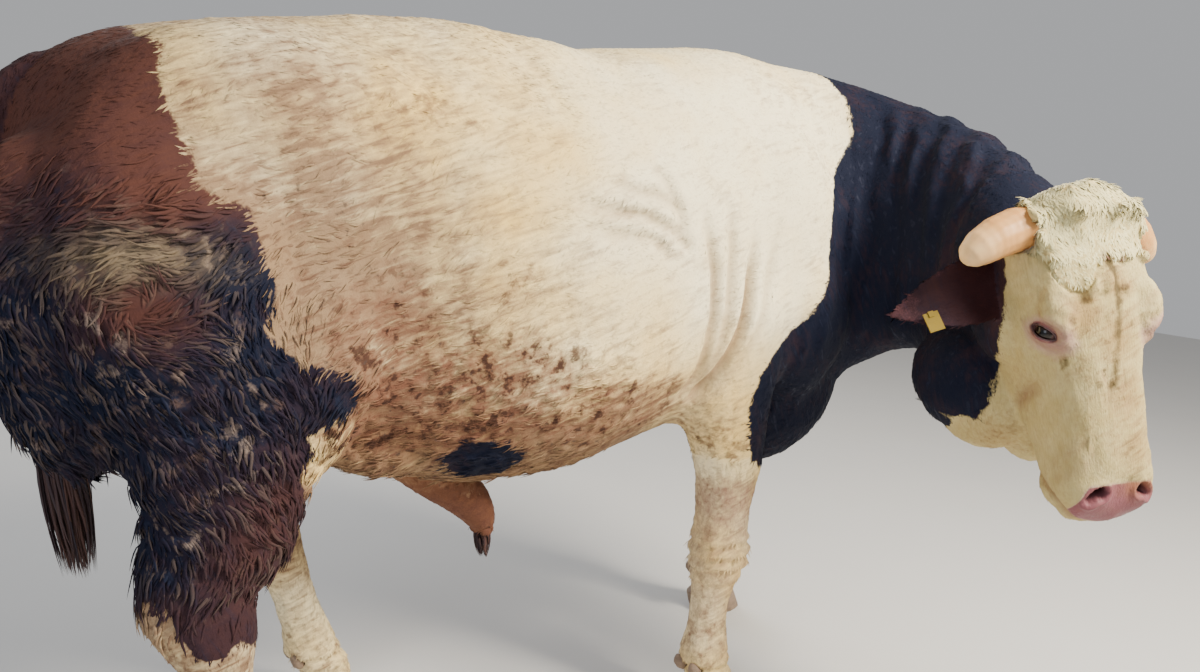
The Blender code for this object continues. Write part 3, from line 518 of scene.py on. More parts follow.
class BullStage(PropertyGroup):
    lens: FloatProperty(
        name="Lens", description="Focal length of the camera in millimetres", default=30.0
    )
    eye_height: length_value("Camera height", "Height of the camera above the floor", 1.28)
    key_power: FloatProperty(name="Key light", description="Power of the main light", default=400.0)
    fill_power: FloatProperty(name="Fill light", description="Power of the soft light", default=75.0)
    floor: colour_value("Floor", "Plain pale floor", (0.62, 0.60, 0.57))


# Markings and painted shade

NECK_BORDER = (
    (0.735, 1.600), (0.722, 1.413), (0.686, 1.363), (0.640, 1.291), (0.616, 1.198), (0.612, 1.081),
    (0.549, 0.992), (0.443, 0.904), (0.366, 0.832), (0.362, 0.750), (0.400, 0.640), (0.470, 0.560),
)
RUMP_BORDER = (
    (-0.862, 1.620), (-0.850, 1.443), (-0.851, 1.346), (-0.835, 1.292), (-0.798, 1.224),
    (-0.732, 1.194), (-0.701, 1.094), (-0.716, 1.001), (-0.655, 0.950), (-0.560, 0.915),
    (-0.545, 0.860), (-0.640, 0.830), (-0.655, 0.740), (-0.610, 0.660), (-0.600, 0.530),
    (-0.560, 0.490),
)
FACE_BORDER = (
    (-0.090, -0.030), (0.010, -0.036), (0.071, -0.041), (0.125, -0.052), (0.160, -0.075),
    (0.197, -0.092), (0.233, -0.120), (0.262, -0.185), (0.333, -0.212), (0.362, -0.240),
    (0.330, -0.330),
)
BELLY_PATCH = (-0.262, 0.712)
# Where the hair of the thigh turns in a whorl.
WHORL = (-0.905, 1.045)
THROAT_PATCH = (0.372, 0.0, -0.285)
# Lower edge of the curly hair: place across the forehead and place down the face.
CURL_EDGE = (
    (-0.150, 0.030), (-0.120, 0.067), (-0.107, 0.095), (-0.099, 0.136), (-0.080, 0.154),
    (-0.056, 0.156), (-0.017, 0.112), (0.009, 0.096), (0.049, 0.104), (0.087, 0.093),
    (0.120, 0.067), (0.150, 0.030),
)
# The dirty streak down the face, and stains: place on the head, width, strength.
FACE_STREAK = (
    (0.088, -0.001, 0.066), (0.123, 0.014, 0.064), (0.161, 0.017, 0.061), (0.218, 0.013, 0.055),
    (0.273, 0.002, 0.046), (0.319, -0.007, 0.038), (0.349, -0.019, 0.032),
)
FACE_STAINS = (
    ((0.283, -0.092, 0.010), 0.014, 1.3),
    ((0.335, -0.040, 0.032), 0.013, 1.1),
    ((0.347, -0.020, 0.032), 0.010, 1.1),
    ((0.086, -0.020, 0.068), 0.009, 1.5),
    ((0.089, -0.002, 0.070), 0.010, 1.5),
    ((0.100, 0.046, 0.058), 0.014, 1.2),
    ((0.225, 0.040, 0.052), 0.012, 0.9),
    ((0.160, 0.036, 0.058), 0.010, 0.9),
    ((0.205, -0.012, 0.055), 0.008, 1.1),
    ((0.250, -0.016, 0.050), 0.008, 1.0),
    ((0.520, 0.030, -0.004), 0.030, 1.0),
    ((0.522, 0.065, -0.014), 0.022, 0.9),
)
# Soft brownish patches of the face: tan hair, and painted shade under the jaw, in the cheek fold and at the
# corner of the mouth; place on the head, width, strength.
FACE_SHADES = (
    ((0.200, -0.062, 0.048), 0.040, 1.05),
    ((0.250, 0.010, 0.050), 0.055, 0.80),
    ((0.360, 0.020, 0.030), 0.060, 0.65),
    ((0.450, 0.030, 0.020), 0.060, 0.55),
    ((0.150, 0.020, 0.060), 0.040, 0.75),
    # Painted shade under the jaw.
    ((0.405, -0.090, -0.230), 0.055, 0.55),
    ((0.300, -0.120, -0.120), 0.040, 0.30),
    # Painted shade in the cheek fold and at the corner of the mouth.
    ((0.338, -0.095, -0.130), 0.022, 0.40),
    ((0.500, -0.092, -0.110), 0.022, 0.45),
    ((0.300, -0.060, 0.030), 0.030, 0.35),
)
# Soiled patches: place along the body, height, half length, half height, strength.
SOIL_PATCHES = (
    (-0.36, 0.85, 0.34, 0.15, 1.05),
    (-0.05, 0.80, 0.26, 0.10, 0.85),
    (-0.50, 0.95, 0.13, 0.16, 0.85),
    (-0.62, 1.10, 0.10, 0.16, 0.35),
    (-0.44, 1.36, 0.16, 0.06, 0.42),
    (-0.27, 1.08, 0.05, 0.05, 0.62),
    (-0.24, 1.42, 0.13, 0.05, 0.30),
    (-0.12, 1.10, 0.20, 0.05, 0.22),
    (0.05, 0.93, 0.16, 0.10, 0.30),
)


def border_side(places, border):
    """Signed distance to a border that runs downwards, positive towards -X."""
    border = np.array(border)
    gap = reach(places, border)[0]
    order = border[::-1]
    edge = np.interp(places[:, 1], order[:, 1], order[:, 0])
    return np.where(places[:, 0] < edge, gap, -gap)


def labels_of(points):
    """The CAD node nearest to each point, by number."""
    places = []
    faces = []
    owners = []
    start = 0
    for name in FLESH:
        node_points, node_faces = mesh_arrays(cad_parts[name].data)
        places.extend(map(tuple, node_points))
        faces.extend(map(tuple, node_faces + start))
        owners.extend([LABELS[name]] * len(node_faces))
        start += len(node_points)
    tree = BVHTree.FromPolygons(places, faces)
    return np.array([owners[tree.find_nearest(Vector(place))[2]] for place in points])


class Body:
    """Places, directions and zones of the skin's points, from which everything is painted."""

    def __init__(self, points, corners):
        self.points = points
        self.corners = corners
        self.normals = point_normals(points, corners)
        self.labels = labels_of(points)
        self.head = on_head(points)
        self.side = points[:, [0, 2]]
        self.mirror = points[:, 1] - MIDDLE_Y

    def on(self, *names):
        return np.isin(self.labels, [LABELS[name] for name in names])

    def spot(self, x, z, half, tall):
        """Distance from a place on the body's side, in half lengths and half heights."""
        return np.hypot((self.side[:, 0] - x) / half, (self.side[:, 1] - z) / tall)

    def half_head(self):
        """Places on the head, with one side of the face laid over the other."""
        return np.abs(self.head) * (0, 1, 0) + self.head * (1, 0, 1)

    def curls(self):
        """How far inside the curly hair of the poll each point is, 0 to 1."""
        x, y, z = self.head.T
        edge = np.array(CURL_EDGE)
        inside = ease(np.interp(y, edge[:, 0], edge[:, 1]) - x, -0.004, 0.010)
        inside *= ease(z + 0.110, -0.01, 0.03) * ease(0.124 - np.abs(y), -0.006, 0.012)
        nape = ease(z + 0.9 * x + 0.135, -0.01, 0.02)
        return inside * nape * self.on("head", "neck")

    def curl_height(self):
        """Share of the full depth of the curls, which thin out down the forehead."""
        return self.curls() * (0.30 + 0.70 * ease(0.110 - self.head[:, 0], 0.0, 0.050))

    def muzzle(self):
        """How far inside the bare skin of the nose each point is, 0 to 1."""
        x, y, z = self.head.T
        edge = 0.517 + 0.040 * ease(np.abs(y), 0.066, 0.088) + 0.30 * np.clip(-0.085 - z, 0, 1)
        low = ease(z + 0.072 + 0.10 * np.clip(0.05 - np.abs(y), 0, 1), -0.010, 0.004)
        return ease(x - edge, -0.004, 0.005) * low * self.on("head")

    def legs(self):
        return self.on(*FORE_LEGS, *HIND_LEGS)

    def areas(self, weights):
        """Area of each triangle of the skin, times the weight of its corners."""
        a, b, c = (self.points[self.corners[:, i]] for i in range(3))
        area = np.linalg.norm(np.cross(b - a, c - a), axis=1) / 2
        return area * weights[self.corners].mean(axis=1)

    def eye_gap(self):
        """Places around the nearer eye: along the slit, across it and outwards, in metres."""
        gaps = []
        for _, centre, (normal, slit, across) in eye_places():
            away = self.points - centre
            gaps.append(np.stack([away @ slit, away @ across, away @ normal], axis=1))
        right, left = gaps
        nearer = np.linalg.norm(left, axis=1) < np.linalg.norm(right, axis=1)
        return np.where(nearer[:, None], left, right)


class Bull:
    """What the operators hand on to each other."""

    body = None
    skin = None
    corner_map = None
    fields = {}
    looks = {}


def sculpt(body):
    """Moves of the skin's points along their normals that carve its folds and features."""
    move = np.zeros(len(body.points))
    move += shoulder_folds(body)
    move += neck_folds(body)
    move += trunk_relief(body)
    hanging = body.on("sheath") * ease(0.66 - body.points[:, 2], 0.0, 0.10)
    move += 0.012 * hanging
    return move + knee_folds(body) + belly_clots(body)


def knee_folds(body):
    """Loose skin that wrinkles round the knees and pasterns."""
    height = body.points[:, 2]
    move = np.zeros(len(height))
    for names, middle, half, depth in (
        (FORE_LEGS, 0.405, 0.055, 0.0050),
        (FORE_LEGS, 0.130, 0.035, 0.0040),
        (HIND_LEGS, 0.120, 0.035, 0.0040),
    ):
        zone = body.on(*names) * hump(height - middle, half)
        near = zone > 0.03
        drift = 0.010 * ripple(body.points[near], (0.05, 0.05, 0.05), 6.6)
        move[near] += depth * zone[near] * np.sin((height[near] + drift) * math.tau / 0.034)
    return move


def belly_clots(body):
    """Clotted hair under the flank, raised in small lumps."""
    x, z = body.points.T[[0, 2]]
    zone = ease(1.02 - z, 0.0, 0.14) * ease(0.16 - x, 0.0, 0.25) * body.on("torso")
    move = np.zeros(len(x))
    near = zone > 0.03
    lumps = ripple(body.points[near], (0.032, 0.032, 0.022), 2.9)
    move[near] = 0.0050 * zone[near] * ease(lumps, -0.2, 0.6)
    return move


# Folds behind the shoulder: depth, then places along the body and heights.
SHOULDER_FOLDS = (
    (0.016, ((0.165, 1.260), (0.180, 1.182), (0.213, 1.086), (0.220, 0.980), (0.212, 0.865),
             (0.185, 0.790))),
    (0.012, ((0.245, 1.290), (0.250, 1.238), (0.266, 1.128), (0.262, 1.014), (0.243, 0.893),
             (0.205, 0.800))),
    (0.028, ((0.345, 1.200), (0.338, 1.110), (0.320, 1.028), (0.300, 0.958), (0.262, 0.868),
             (0.215, 0.780))),
    (0.008, ((0.430, 1.250), (0.418, 1.180), (0.395, 1.070), (0.365, 0.980), (0.310, 0.890),
             (0.240, 0.790))),
    (0.009, ((-0.10, 1.262), (-0.020, 1.250), (0.060, 1.238), (0.120, 1.205))),
    (0.010, ((-0.19, 1.222), (-0.100, 1.208), (0.010, 1.202), (0.090, 1.170), (0.145, 1.125))),
    (0.008, ((-0.15, 1.172), (-0.060, 1.160), (0.030, 1.155), (0.085, 1.120))),
    (0.007, ((0.020, 1.310), (0.070, 1.270), (0.105, 1.215), (0.110, 1.160))),
)
FOLD_WIDTH = 0.0150


def shoulder_folds(body):
    """Curved folds of loose skin behind the shoulder."""
    move = np.zeros(len(body.points))
    for depth, gap, strength in fold_gaps(body):
        move += (0.26 * depth * hump(gap, 0.040) - 1.1 * depth * hump(gap, FOLD_WIDTH)) * strength
    return move


def fold_gaps(body):
    """Depth, distance and strength of each shoulder fold for every point."""
    flank = body.on("torso") * ease(np.abs(body.mirror), 0.10, 0.20)
    for depth, path in SHOULDER_FOLDS:
        gap, along = reach(body.side, path)
        yield depth, gap, ease(along, 0.0, 0.40) * ease(1.0 - along, 0.0, 0.10) * flank


# Creases of the face, the same on both sides: places on the head, width and depth.
FACE_CREASES = (
    (((0.352, 0.076, -0.175), (0.332, 0.094, -0.140), (0.326, 0.101, -0.105), (0.318, 0.106, -0.052)),
     0.011, 0.010),
    (((0.440, 0.078, -0.150), (0.476, 0.082, -0.134), (0.507, 0.094, -0.105), (0.537, 0.096, -0.080),
      (0.565, 0.080, -0.078), (0.588, 0.040, -0.090), (0.592, 0.0, -0.092)), 0.0065, 0.011),
    (((0.430, 0.060, 0.010), (0.455, 0.088, -0.030), (0.470, 0.100, -0.070)), 0.010, 0.0035),
    (((0.465, 0.055, 0.002), (0.485, 0.085, -0.030), (0.498, 0.098, -0.070)), 0.009, 0.0040),
    (((0.262, 0.134, -0.030), (0.284, 0.118, -0.004), (0.292, 0.090, 0.022)), 0.0070, 0.0065),
    (((0.285, 0.130, -0.048), (0.310, 0.112, -0.012), (0.318, 0.080, 0.024)), 0.0080, 0.0045),
    (((0.185, 0.132, 0.004), (0.192, 0.112, 0.036), (0.222, 0.084, 0.050)), 0.0075, 0.0060),
    (((0.160, 0.128, 0.010), (0.166, 0.104, 0.046), (0.200, 0.074, 0.058)), 0.0080, 0.0040),
    (((0.318, 0.034, 0.034), (0.332, 0.022, 0.036), (0.352, 0.000, 0.034)), 0.0060, 0.0050),
    (((0.352, 0.040, 0.030), (0.372, 0.020, 0.030), (0.385, 0.000, 0.030)), 0.0070, 0.0035),
)


def crease_share(body):
    """How near each point is to the bottom of a fold, 0 to 1, for painted shade and for shorter, sparser
    hair.
    """
    share = np.zeros(len(body.points))
    for depth, gap, strength in fold_gaps(body):
        share = np.maximum(share, hump(gap, FOLD_WIDTH) * strength * min(1.0, depth / 0.020))
    for path, width, depth in FACE_CREASES:
        gap, along = reach(body.half_head(), path)
        ends = ease(np.minimum(along, 1.04 - along), 0.0, 0.12) * body.on("head")
        share = np.maximum(share, hump(gap, 1.2 * width) * ends * min(1.0, depth / 0.008))
    return share


FOLD_CENTRE = (0.50, -0.25)


def neck_folds(body):
    """Upright folds round the inside of the turned neck."""
    zone = body.on("neck", "torso") * ease(-border_side(body.side, NECK_BORDER), 0.0, 0.08)
    zone = zone * ease(body.points[:, 2], 0.80, 1.00) * ease(1.52 - body.points[:, 2], 0.0, 0.12)
    move = np.zeros(len(body.points))
    near = zone > 0.01
    place = body.points[near]
    turn = np.arctan2(place[:, 1] - FOLD_CENTRE[1], place[:, 0] - FOLD_CENTRE[0])
    phase = turn * (math.tau / 0.19) + 3.0 * ripple(place, (0.16, 0.16, 0.22), 3.1)
    soft = ripple(place, (0.030, 0.030, 0.24), 8.4)
    move[near] = 0.0050 * np.sin(phase) * (0.5 + 0.8 * ease(soft, -0.5, 0.5)) + 0.0055 * soft
    return move * zone


def trunk_relief(body):
    """Slack wrinkles, the hollow of the flank and the clotted coat of the thigh."""
    torso = body.on("torso", *HIND_LEGS)
    move = np.zeros(len(body.points))
    for path, width, depth in (
        (((-0.235, 1.56), (-0.205, 1.50), (-0.165, 1.455), (-0.140, 1.36)), 0.020, 0.006),
        (((-0.560, 0.900), (-0.520, 0.820), (-0.540, 0.730)), 0.030, 0.008),
        (((-0.20, 1.235), (-0.06, 1.215), (0.10, 1.180)), 0.012, 0.004),
        (((-0.16, 1.185), (-0.02, 1.170), (0.12, 1.135)), 0.012, 0.004),
    ):
        gap, along = reach(body.side, path)
        move -= depth * hump(gap, width) * ease(np.minimum(along, 1 - along), -0.05, 0.25)
    thigh = thigh_zone(body)
    near = (thigh > 0.02) & torso
    lumps = ripple(body.points[near], (0.030, 0.030, 0.022), 1.7)
    move[near] += 0.0045 * thigh[near] * lumps
    near = torso & (thigh <= 0.5)
    soft = ripple(body.points[near], (0.16, 0.16, 0.11), 5.2)
    small = ripple(body.points[near], (0.055, 0.055, 0.035), 9.7)
    move[near] += 0.0040 * soft + 0.0012 * small
    return move * torso


def thigh_zone(body):
    """The matted hair of the thigh and the side below the rump, 0 to 1."""
    z = body.points[:, 2]
    zone = ease(border_side(body.side, RUMP_BORDER), -0.01, 0.05) * ease(1.235 - z, -0.05, 0.09)
    zone = zone * body.on("torso", "tail", *HIND_LEGS)
    return zone * ease(z, 0.50, 0.58) * ease(np.abs(body.mirror), 0.05, 0.12)


def face_relief(body):
    """Brows, folds of the cheek, wrinkles of the nose and the line of the mouth."""
    x, y, z = body.head.T
    face = body.on("head").astype(float)
    half = body.half_head()
    move = np.zeros(len(body.points))
    for path, width, depth in FACE_CREASES:
        gap, along = reach(half, path)
        move -= depth * hump(gap, width) * ease(np.minimum(along, 1.04 - along), 0.0, 0.12)
    near = body.on("head")
    slack = ripple(body.head[near], (0.060, 0.030, 0.045), 2.2)
    move[near] += 0.0020 * slack
    brow = distance(half, (0.190, 0.108, 0.030), (0.050, 0.030, 0.030))
    socket = distance(half, (0.262, 0.118, -0.020), (0.050, 0.035, 0.040))
    lip = distance(half, (0.530, 0.085, -0.050), (0.050, 0.035, 0.030))
    crest = reach(half, ((0.240, 0.122, -0.060), (0.330, 0.108, -0.070), (0.400, 0.098, -0.075)))[0]
    move += 0.009 * hump(brow, 1.0) - 0.006 * hump(socket, 1.0) + 0.006 * hump(lip, 1.0)
    move += 0.006 * hump(crest, 0.018)
    move = move * (1 - ease(body.curls(), 0.3, 0.9))
    edge = np.array(CURL_EDGE)
    step = np.interp(y, edge[:, 0], edge[:, 1]) - x
    front = face * ease(z, -0.02, 0.02)
    lump = np.zeros(len(x))
    cap = body.curls() > 0.02
    lump[cap] = 0.0024 * ripple(body.head[cap], (0.034, 0.034, 0.034), 4.9)
    lump[cap] += 0.0016 * ripple(body.head[cap], (0.011, 0.024, 0.016), 8.3)
    raised = (0.005 * ease(step, 0.0, 0.006) + lump) * body.curls()
    return move * face + (raised - 0.006 * hump(step + 0.004, 0.006)) * np.maximum(front, cap)


def set_eyes(body):
    """Presses the skin into a slit in front of each eyeball, between two raised lids."""
    local = body.eye_gap()
    a, b, c = local.T
    flat = np.hypot(a, b)
    near = (flat < 0.060) & (c > -0.012) & body.on("head")
    upper = np.where(b > 0, UPPER_LID, LOWER_LID)
    slit = np.sqrt(np.square(a / SLIT_HALF) + np.square(b / upper))
    ball = np.sqrt(np.square(EYEBALL + 0.0012) - np.square(np.minimum(flat, EYEBALL * 0.94)))
    lid = ball + 0.0042 + 0.0026 * hump(slit - 1.35, 0.30)
    under = ball - 0.0065
    rim = ease(slit, 0.88, 1.05)
    height = under * (1 - rim) + lid * rim
    fade = ease(slit + 0.25 * flat / EYEBALL, 1.45, 2.9)
    target = height * (1 - fade) + c * fade
    change = np.where(near, target - c, 0.0)
    points = body.points.copy()
    for _, centre, axes in eye_places():
        mine = near & (distance(points, centre) < 0.07)
        points[mine] += change[mine, None] * axes[0]
    return points


NOSTRIL = ((0.537, 0.046, -0.009), (0.540, 0.058, -0.012), (0.547, 0.070, -0.020))


def nostril_share(body):
    """How far inside a nostril each point is, 0 to 1, and its distance from the rim."""
    gap, along = reach(body.half_head(), NOSTRIL)
    radius = 0.0152 - 0.0030 * along
    share = ease(radius - gap, -0.001, 0.005) * body.on("head")
    return share, gap - radius


def set_nostrils(body):
    """Hollows each nostril behind a raised wing."""
    points = body.points.copy()
    x, y = body.head.T[:2]
    dent, outside = nostril_share(body)
    wing = hump(outside - 0.006, 0.005) * body.on("head") * (x > 0.5)
    inward = unit(np.stack([np.full(len(x), -0.62), np.where(y < 0, 0.34, -0.34),
                            np.full(len(x), -0.70)], axis=1)) @ HEAD_AXES.T
    points += inward * (0.030 * dent)[:, None]
    points += body.normals * (0.0045 * wing * (1 - dent))[:, None]
    return points


def refine_head(mesh):
    """Splits the faces of the head, and once more those round the eyes, nose and mouth."""
    made = bmesh.new()
    made.from_mesh(mesh)
    for level in (0, 1):
        places = on_head(np.array([vertex.co for vertex in made.verts]))
        places[:, 1] = np.abs(places[:, 1])
        if level == 0:
            zone = distance(places, (0.30, 0.0, -0.06), (0.36, 0.20, 0.22)) < 1
        else:
            zone = distance(places, EYE_PLACE) < 0.055
            zone |= distance(places, (0.545, 0.055, -0.03)) < 0.055
        made.verts.ensure_lookup_table()
        edges = [edge for edge in made.edges if zone[edge.verts[0].index] and zone[edge.verts[1].index]]
        bmesh.ops.subdivide_edges(made, edges=edges, cuts=1, use_grid_fill=True, smooth=0.35)
        bmesh.ops.triangulate(made, faces=made.faces[:])
        made.verts.index_update()
    made.to_mesh(mesh)
    made.free()


def coat_depth(body, sizes):
    depth = np.full(len(body.points), sizes.body_depth)
    depth[body.legs()] = sizes.leg_depth
    depth[body.on("head", "scrotum", "sheath", *EARS)] = sizes.face_depth
    down = ease(body.points[:, 2], 0.45, 0.75) * body.legs()
    depth = depth + (sizes.body_depth - sizes.leg_depth) * down
    toward = hump(distance(body.points, head_place(0.1, 0, -0.3)), 0.25)
    depth = np.where(body.on("neck"), depth * (1 - 0.6 * toward), depth)
    return depth + body.curl_height() * sizes.curl_depth


def trimmed_tips(points, labels):
    """Draws the solid locks of the sheath and the tail up into blunt ends of flesh."""
    points = points.copy()
    for name, end in (("sheath", 0.475), ("tail", 0.865)):
        low = (labels == LABELS[name]) & (points[:, 2] < end)
        points[low, 2] = end + (points[low, 2] - end) * 0.12
    return points


def marking_values(body):
    """For each point: metres inside the brown, and the shares of the other markings and of painted shade.
    """
    x, y, z = body.points.T
    hx, hz = body.head.T[[0, 2]]
    wander = ripple(body.points, (0.11, 0.11, 0.08), 4.4)
    neck = -border_side(body.side, NECK_BORDER) + 0.012 * wander
    rump = border_side(body.side, RUMP_BORDER) + 0.016 * wander
    brown = np.maximum(neck, rump)
    fore = body.on(*FORE_LEGS)
    brown = np.where(fore & (z < 0.625), -0.05, brown)
    hind = body.on(*HIND_LEGS)
    along = x + 0.76 - (y > 0.3) * 0.31
    height = 0.495 + 0.065 * hump(along + 0.125, 0.040) - 0.055 * hump(along + 0.035, 0.035)
    height = height - 0.035 * hump(along - 0.045, 0.040)
    ragged = 0.025 * wander + 0.020 * ripple(body.points, (0.040, 0.040, 0.060), 9.1)
    sock = np.minimum(brown, z - height + ragged)
    brown = np.where(hind, sock, brown)
    face = np.stack([hx, hz], axis=1)
    line = np.array(FACE_BORDER)
    gap = reach(face, line)[0]
    edge = np.interp(hx, line[:10, 0], line[:10, 1])
    behind = np.where((hz < edge) & (hx < 0.362), gap, -gap)
    on_face = body.on("head") | (body.on("neck") & (hx > -0.1) & (hz > -0.05))
    brown = np.where(on_face, behind + 0.006 * wander, brown)
    nape = body.curls() > 0.3
    brown = np.where(nape, -0.05, brown)
    patch = 1 - distance(body.head, THROAT_PATCH, (0.048, 0.19, 0.042))
    brown = np.where(body.on("head", "neck"), np.minimum(brown, -0.06 * patch), brown)
    flank = (x - BELLY_PATCH[0]) / 0.082
    low = (z - BELLY_PATCH[1]) / 0.050
    oval = (1 - np.hypot(flank + 0.2 * low, low)) * 0.06
    near = body.on("torso") & (body.mirror < -0.08)
    brown = np.where(near, np.maximum(brown, oval), brown)
    brown = np.where(body.on("tail", *EARS), 0.06, brown)
    pale = hump(body.spot(-0.895, 1.122, 0.085, 0.034), 1.0) * body.on("torso")
    brown = np.where(body.on("scrotum"), -0.06, brown)
    brown = np.where(body.on("sheath"), (z - 0.60) * -0.20, brown)

    dark = 1.05 * (brown > -0.02) * (neck > rump)
    below = ease(1.26 - z + 0.10 * wander, -0.03, 0.20)
    dark = np.where(rump >= neck, 0.10 + 0.88 * below, dark)
    dark = np.where(near & (oval > -0.02), 1.0, dark)
    poll_side = hump(distance(body.head, (0.02, -0.10, -0.10)), 0.13)
    dark = dark - 0.55 * poll_side * body.on("neck")
    jaw = body.on("head") * ease(hx, 0.0, 0.10)
    near_face = hump(behind - 0.010, 0.018)
    dark = np.where(jaw > 0, 0.95 - 0.45 * near_face * ease(0.25 - hx, 0.0, 0.08), dark)
    dark = np.where(body.on(*EARS), 0.66, dark)
    swirl = hump(body.spot(*WHORL, 0.080, 0.060), 1.0) * body.on("torso")
    front = hump(body.spot(-0.70, 0.66, 0.12, 0.16), 1.0) * (rump > 0)
    dark = dark - 0.75 * swirl - 0.50 * front * below
    dark = np.where(body.on("tail"), 0.55, dark)
    dark = np.where(body.on("sheath"), 0.10, dark)
    dark = np.where(hind, dark - 0.25 * ease(0.62 - z, 0.0, 0.1), dark)

    bare, deep = bare_share(body)
    return {
        "brown": brown,
        "dark": np.clip(dark, 0, 1),
        "soil": soil_share(body),
        "bare": bare,
        "cream": cream_share(body),
        "deep": deep,
        "pale": pale,
        # For the painted shade at the bottom of the folds and creases.
        "crease": crease_share(body),
        "stain_and_shade": stain_and_shade_share(body),
        "matted": thigh_zone(body),
        "facial": body.on("head", "neck") * ease(np.maximum(hx + 0.1, 0), 0.0, 0.1),
    }


def soil_share(body):
    """Dirt in the hair, from thin dust to clots."""
    x, z = body.points.T[[0, 2]]
    torso = body.on("torso")
    patches = np.zeros(len(x))
    for along, height, half, tall, strength in SOIL_PATCHES:
        for flip, drift in ((-1, 0.0), (1, 0.11)):
            far = body.spot(along + drift, height, half, tall)
            patch = strength * ease(1.5 - far, 0.0, 1.0) * (body.mirror * flip > 0)
            patches = np.maximum(patches, patch)
    streak = reach(body.head, FACE_STREAK)[0]
    return np.maximum.reduce([
        patches * torso,
        0.55 * ease(0.80 - z, 0.0, 0.10) * ease(0.50 - x, 0.0, 0.2) * torso,
        0.45 * ease(0.60 - z, 0.0, 0.55) * body.legs(),
        0.55 * hump(z - 0.225, 0.05) * body.on(*FORE_LEGS),
        # The sheath's heavy soil is partly painted shade.
        1.05 * body.on("sheath"),
        1.35 * hump(streak, 0.0100) * body.on("head"),
        face_spots(body, FACE_STAINS),
    ])


def bare_share(body):
    """Bare or thinly haired skin, with a pink tint up the forelegs that is partly painted shade, and the
    painted shade in the hollows of the nostrils and ears, 0 to 1.
    """
    z = body.points[:, 2]
    a, b, c = body.eye_gap().T
    near_eye = body.on("head") * (c > -0.02)
    round_eye = 0.66 * (1 - ease(np.hypot((a - 0.010) / 0.060, (b + 0.004) / 0.042), 0.55, 1.25))
    on_lids = 0.80 * (1 - ease(np.hypot(a / 0.036, b / 0.023), 0.75, 1.15))
    # A pink tint up the forelegs, strongest on the forearm, partly painted shade.
    leg = (0.27 + 0.12 * ease(z, 0.42, 0.55)) * ease(z, 0.06, 0.20) * ease(0.645 - z, 0.0, 0.085)
    bare = np.maximum.reduce([
        body.muzzle(),
        np.maximum(round_eye, on_lids) * near_eye,
        0.36 * body.on("sheath"),
        0.85 * body.on("scrotum"),
        leg * body.on(*FORE_LEGS),
    ])
    # Painted shade inside the nostrils and the hollows of the ears.
    deep = nostril_share(body)[0]
    for name in SIDES:
        root, out, across, hollow = ear_axes(name)
        facing = body.normals @ hollow
        along = (body.points - root) @ out
        width = np.abs((body.points - root) @ across)
        ear = body.on("ear_" + name)
        deep = np.maximum(deep, 0.85 * ear * ease(facing, 0.1, 0.6) * ease(0.15 - along, 0.0, 0.10))
        tip = 0.24 * ear * ease(along, 0.14, 0.21)
        rim = 0.16 * ear * ease(width, 0.030, 0.055) * ease(facing, -0.2, 0.4)
        bare = np.maximum.reduce([bare, tip, rim])
    return bare, deep


def cream_share(body):
    """How yellow the white hair is, 0 to 1."""
    bright = hump(body.spot(0.34, 1.22, 0.42, 0.34), 1.0)
    middle = hump(body.spot(-0.26, 1.22, 0.26, 0.20), 1.0)
    low = ease(1.15 - body.points[:, 2], 0, 0.3)
    cream = 0.45 + 0.50 * ripple(body.points, (0.22, 0.22, 0.16), 7.7)
    cream = cream + (0.25 * low - 0.75 * bright + 0.35 * middle) * body.on("torso")
    return np.clip(cream, 0, 1)


def stain_and_shade_share(body):
    """Brownish staining of the white hair, most on the rear flank and the belly, 0 to 1, with painted shade
    under the jaw, in the cheek fold and at the corner of the mouth, and partly painted shade on the upper
    forearm and the sheath.
    """
    x, z = body.points.T[[0, 2]]
    rear = ease(0.0 - x, 0.0, 0.60) * (0.52 + 0.48 * ease(1.42 - z, 0.0, 0.30))
    clean = hump(body.spot(-0.20, 1.24, 0.25, 0.19), 1.0)
    rear = rear * (1 - 0.62 * clean)
    below = ease(0.98 - z, 0.0, 0.28) * ease(0.42 - x, 0.0, 0.40)
    patchy = 0.26 * ripple(body.points, (0.15, 0.15, 0.11), 3.9)
    trunk = np.clip(np.maximum(0.95 * rear, 0.95 * below) + patchy * (1 - 0.5 * clean), 0, 1)
    trunk = trunk * body.on("torso")
    hind = body.on(*HIND_LEGS)
    fade = np.maximum(hind, ease(0.65 - z, 0.0, 0.08))
    # Staining that grows up the legs; on the upper forearm it is partly painted shade.
    legs = body.legs() * (0.20 + 0.26 * ease(z, 0.44, 0.58)) * fade
    legs = legs + 0.45 * hind * ease(z, 0.25, 0.45)
    clean_fold = ease(body.spot(-0.600, 0.800, 0.050, 0.075), 0.6, 1.3)
    shade = np.maximum(trunk, legs) * clean_fold
    # Tan patches of the face, and painted shade under the jaw, in the cheek fold and at the corner of the
    # mouth.
    shade = np.maximum(shade, face_spots(body, FACE_SHADES))
    # The sheath's stain is partly painted shade.
    return np.maximum(shade, 0.75 * body.on("sheath"))


def face_spots(body, spots):
    """The strongest of some soft round spots of the head at each point."""
    share = np.zeros(len(body.points))
    for place, wide, strength in spots:
        share = np.maximum(share, strength * hump(distance(body.head, place), wide))
    return share * body.on("head")


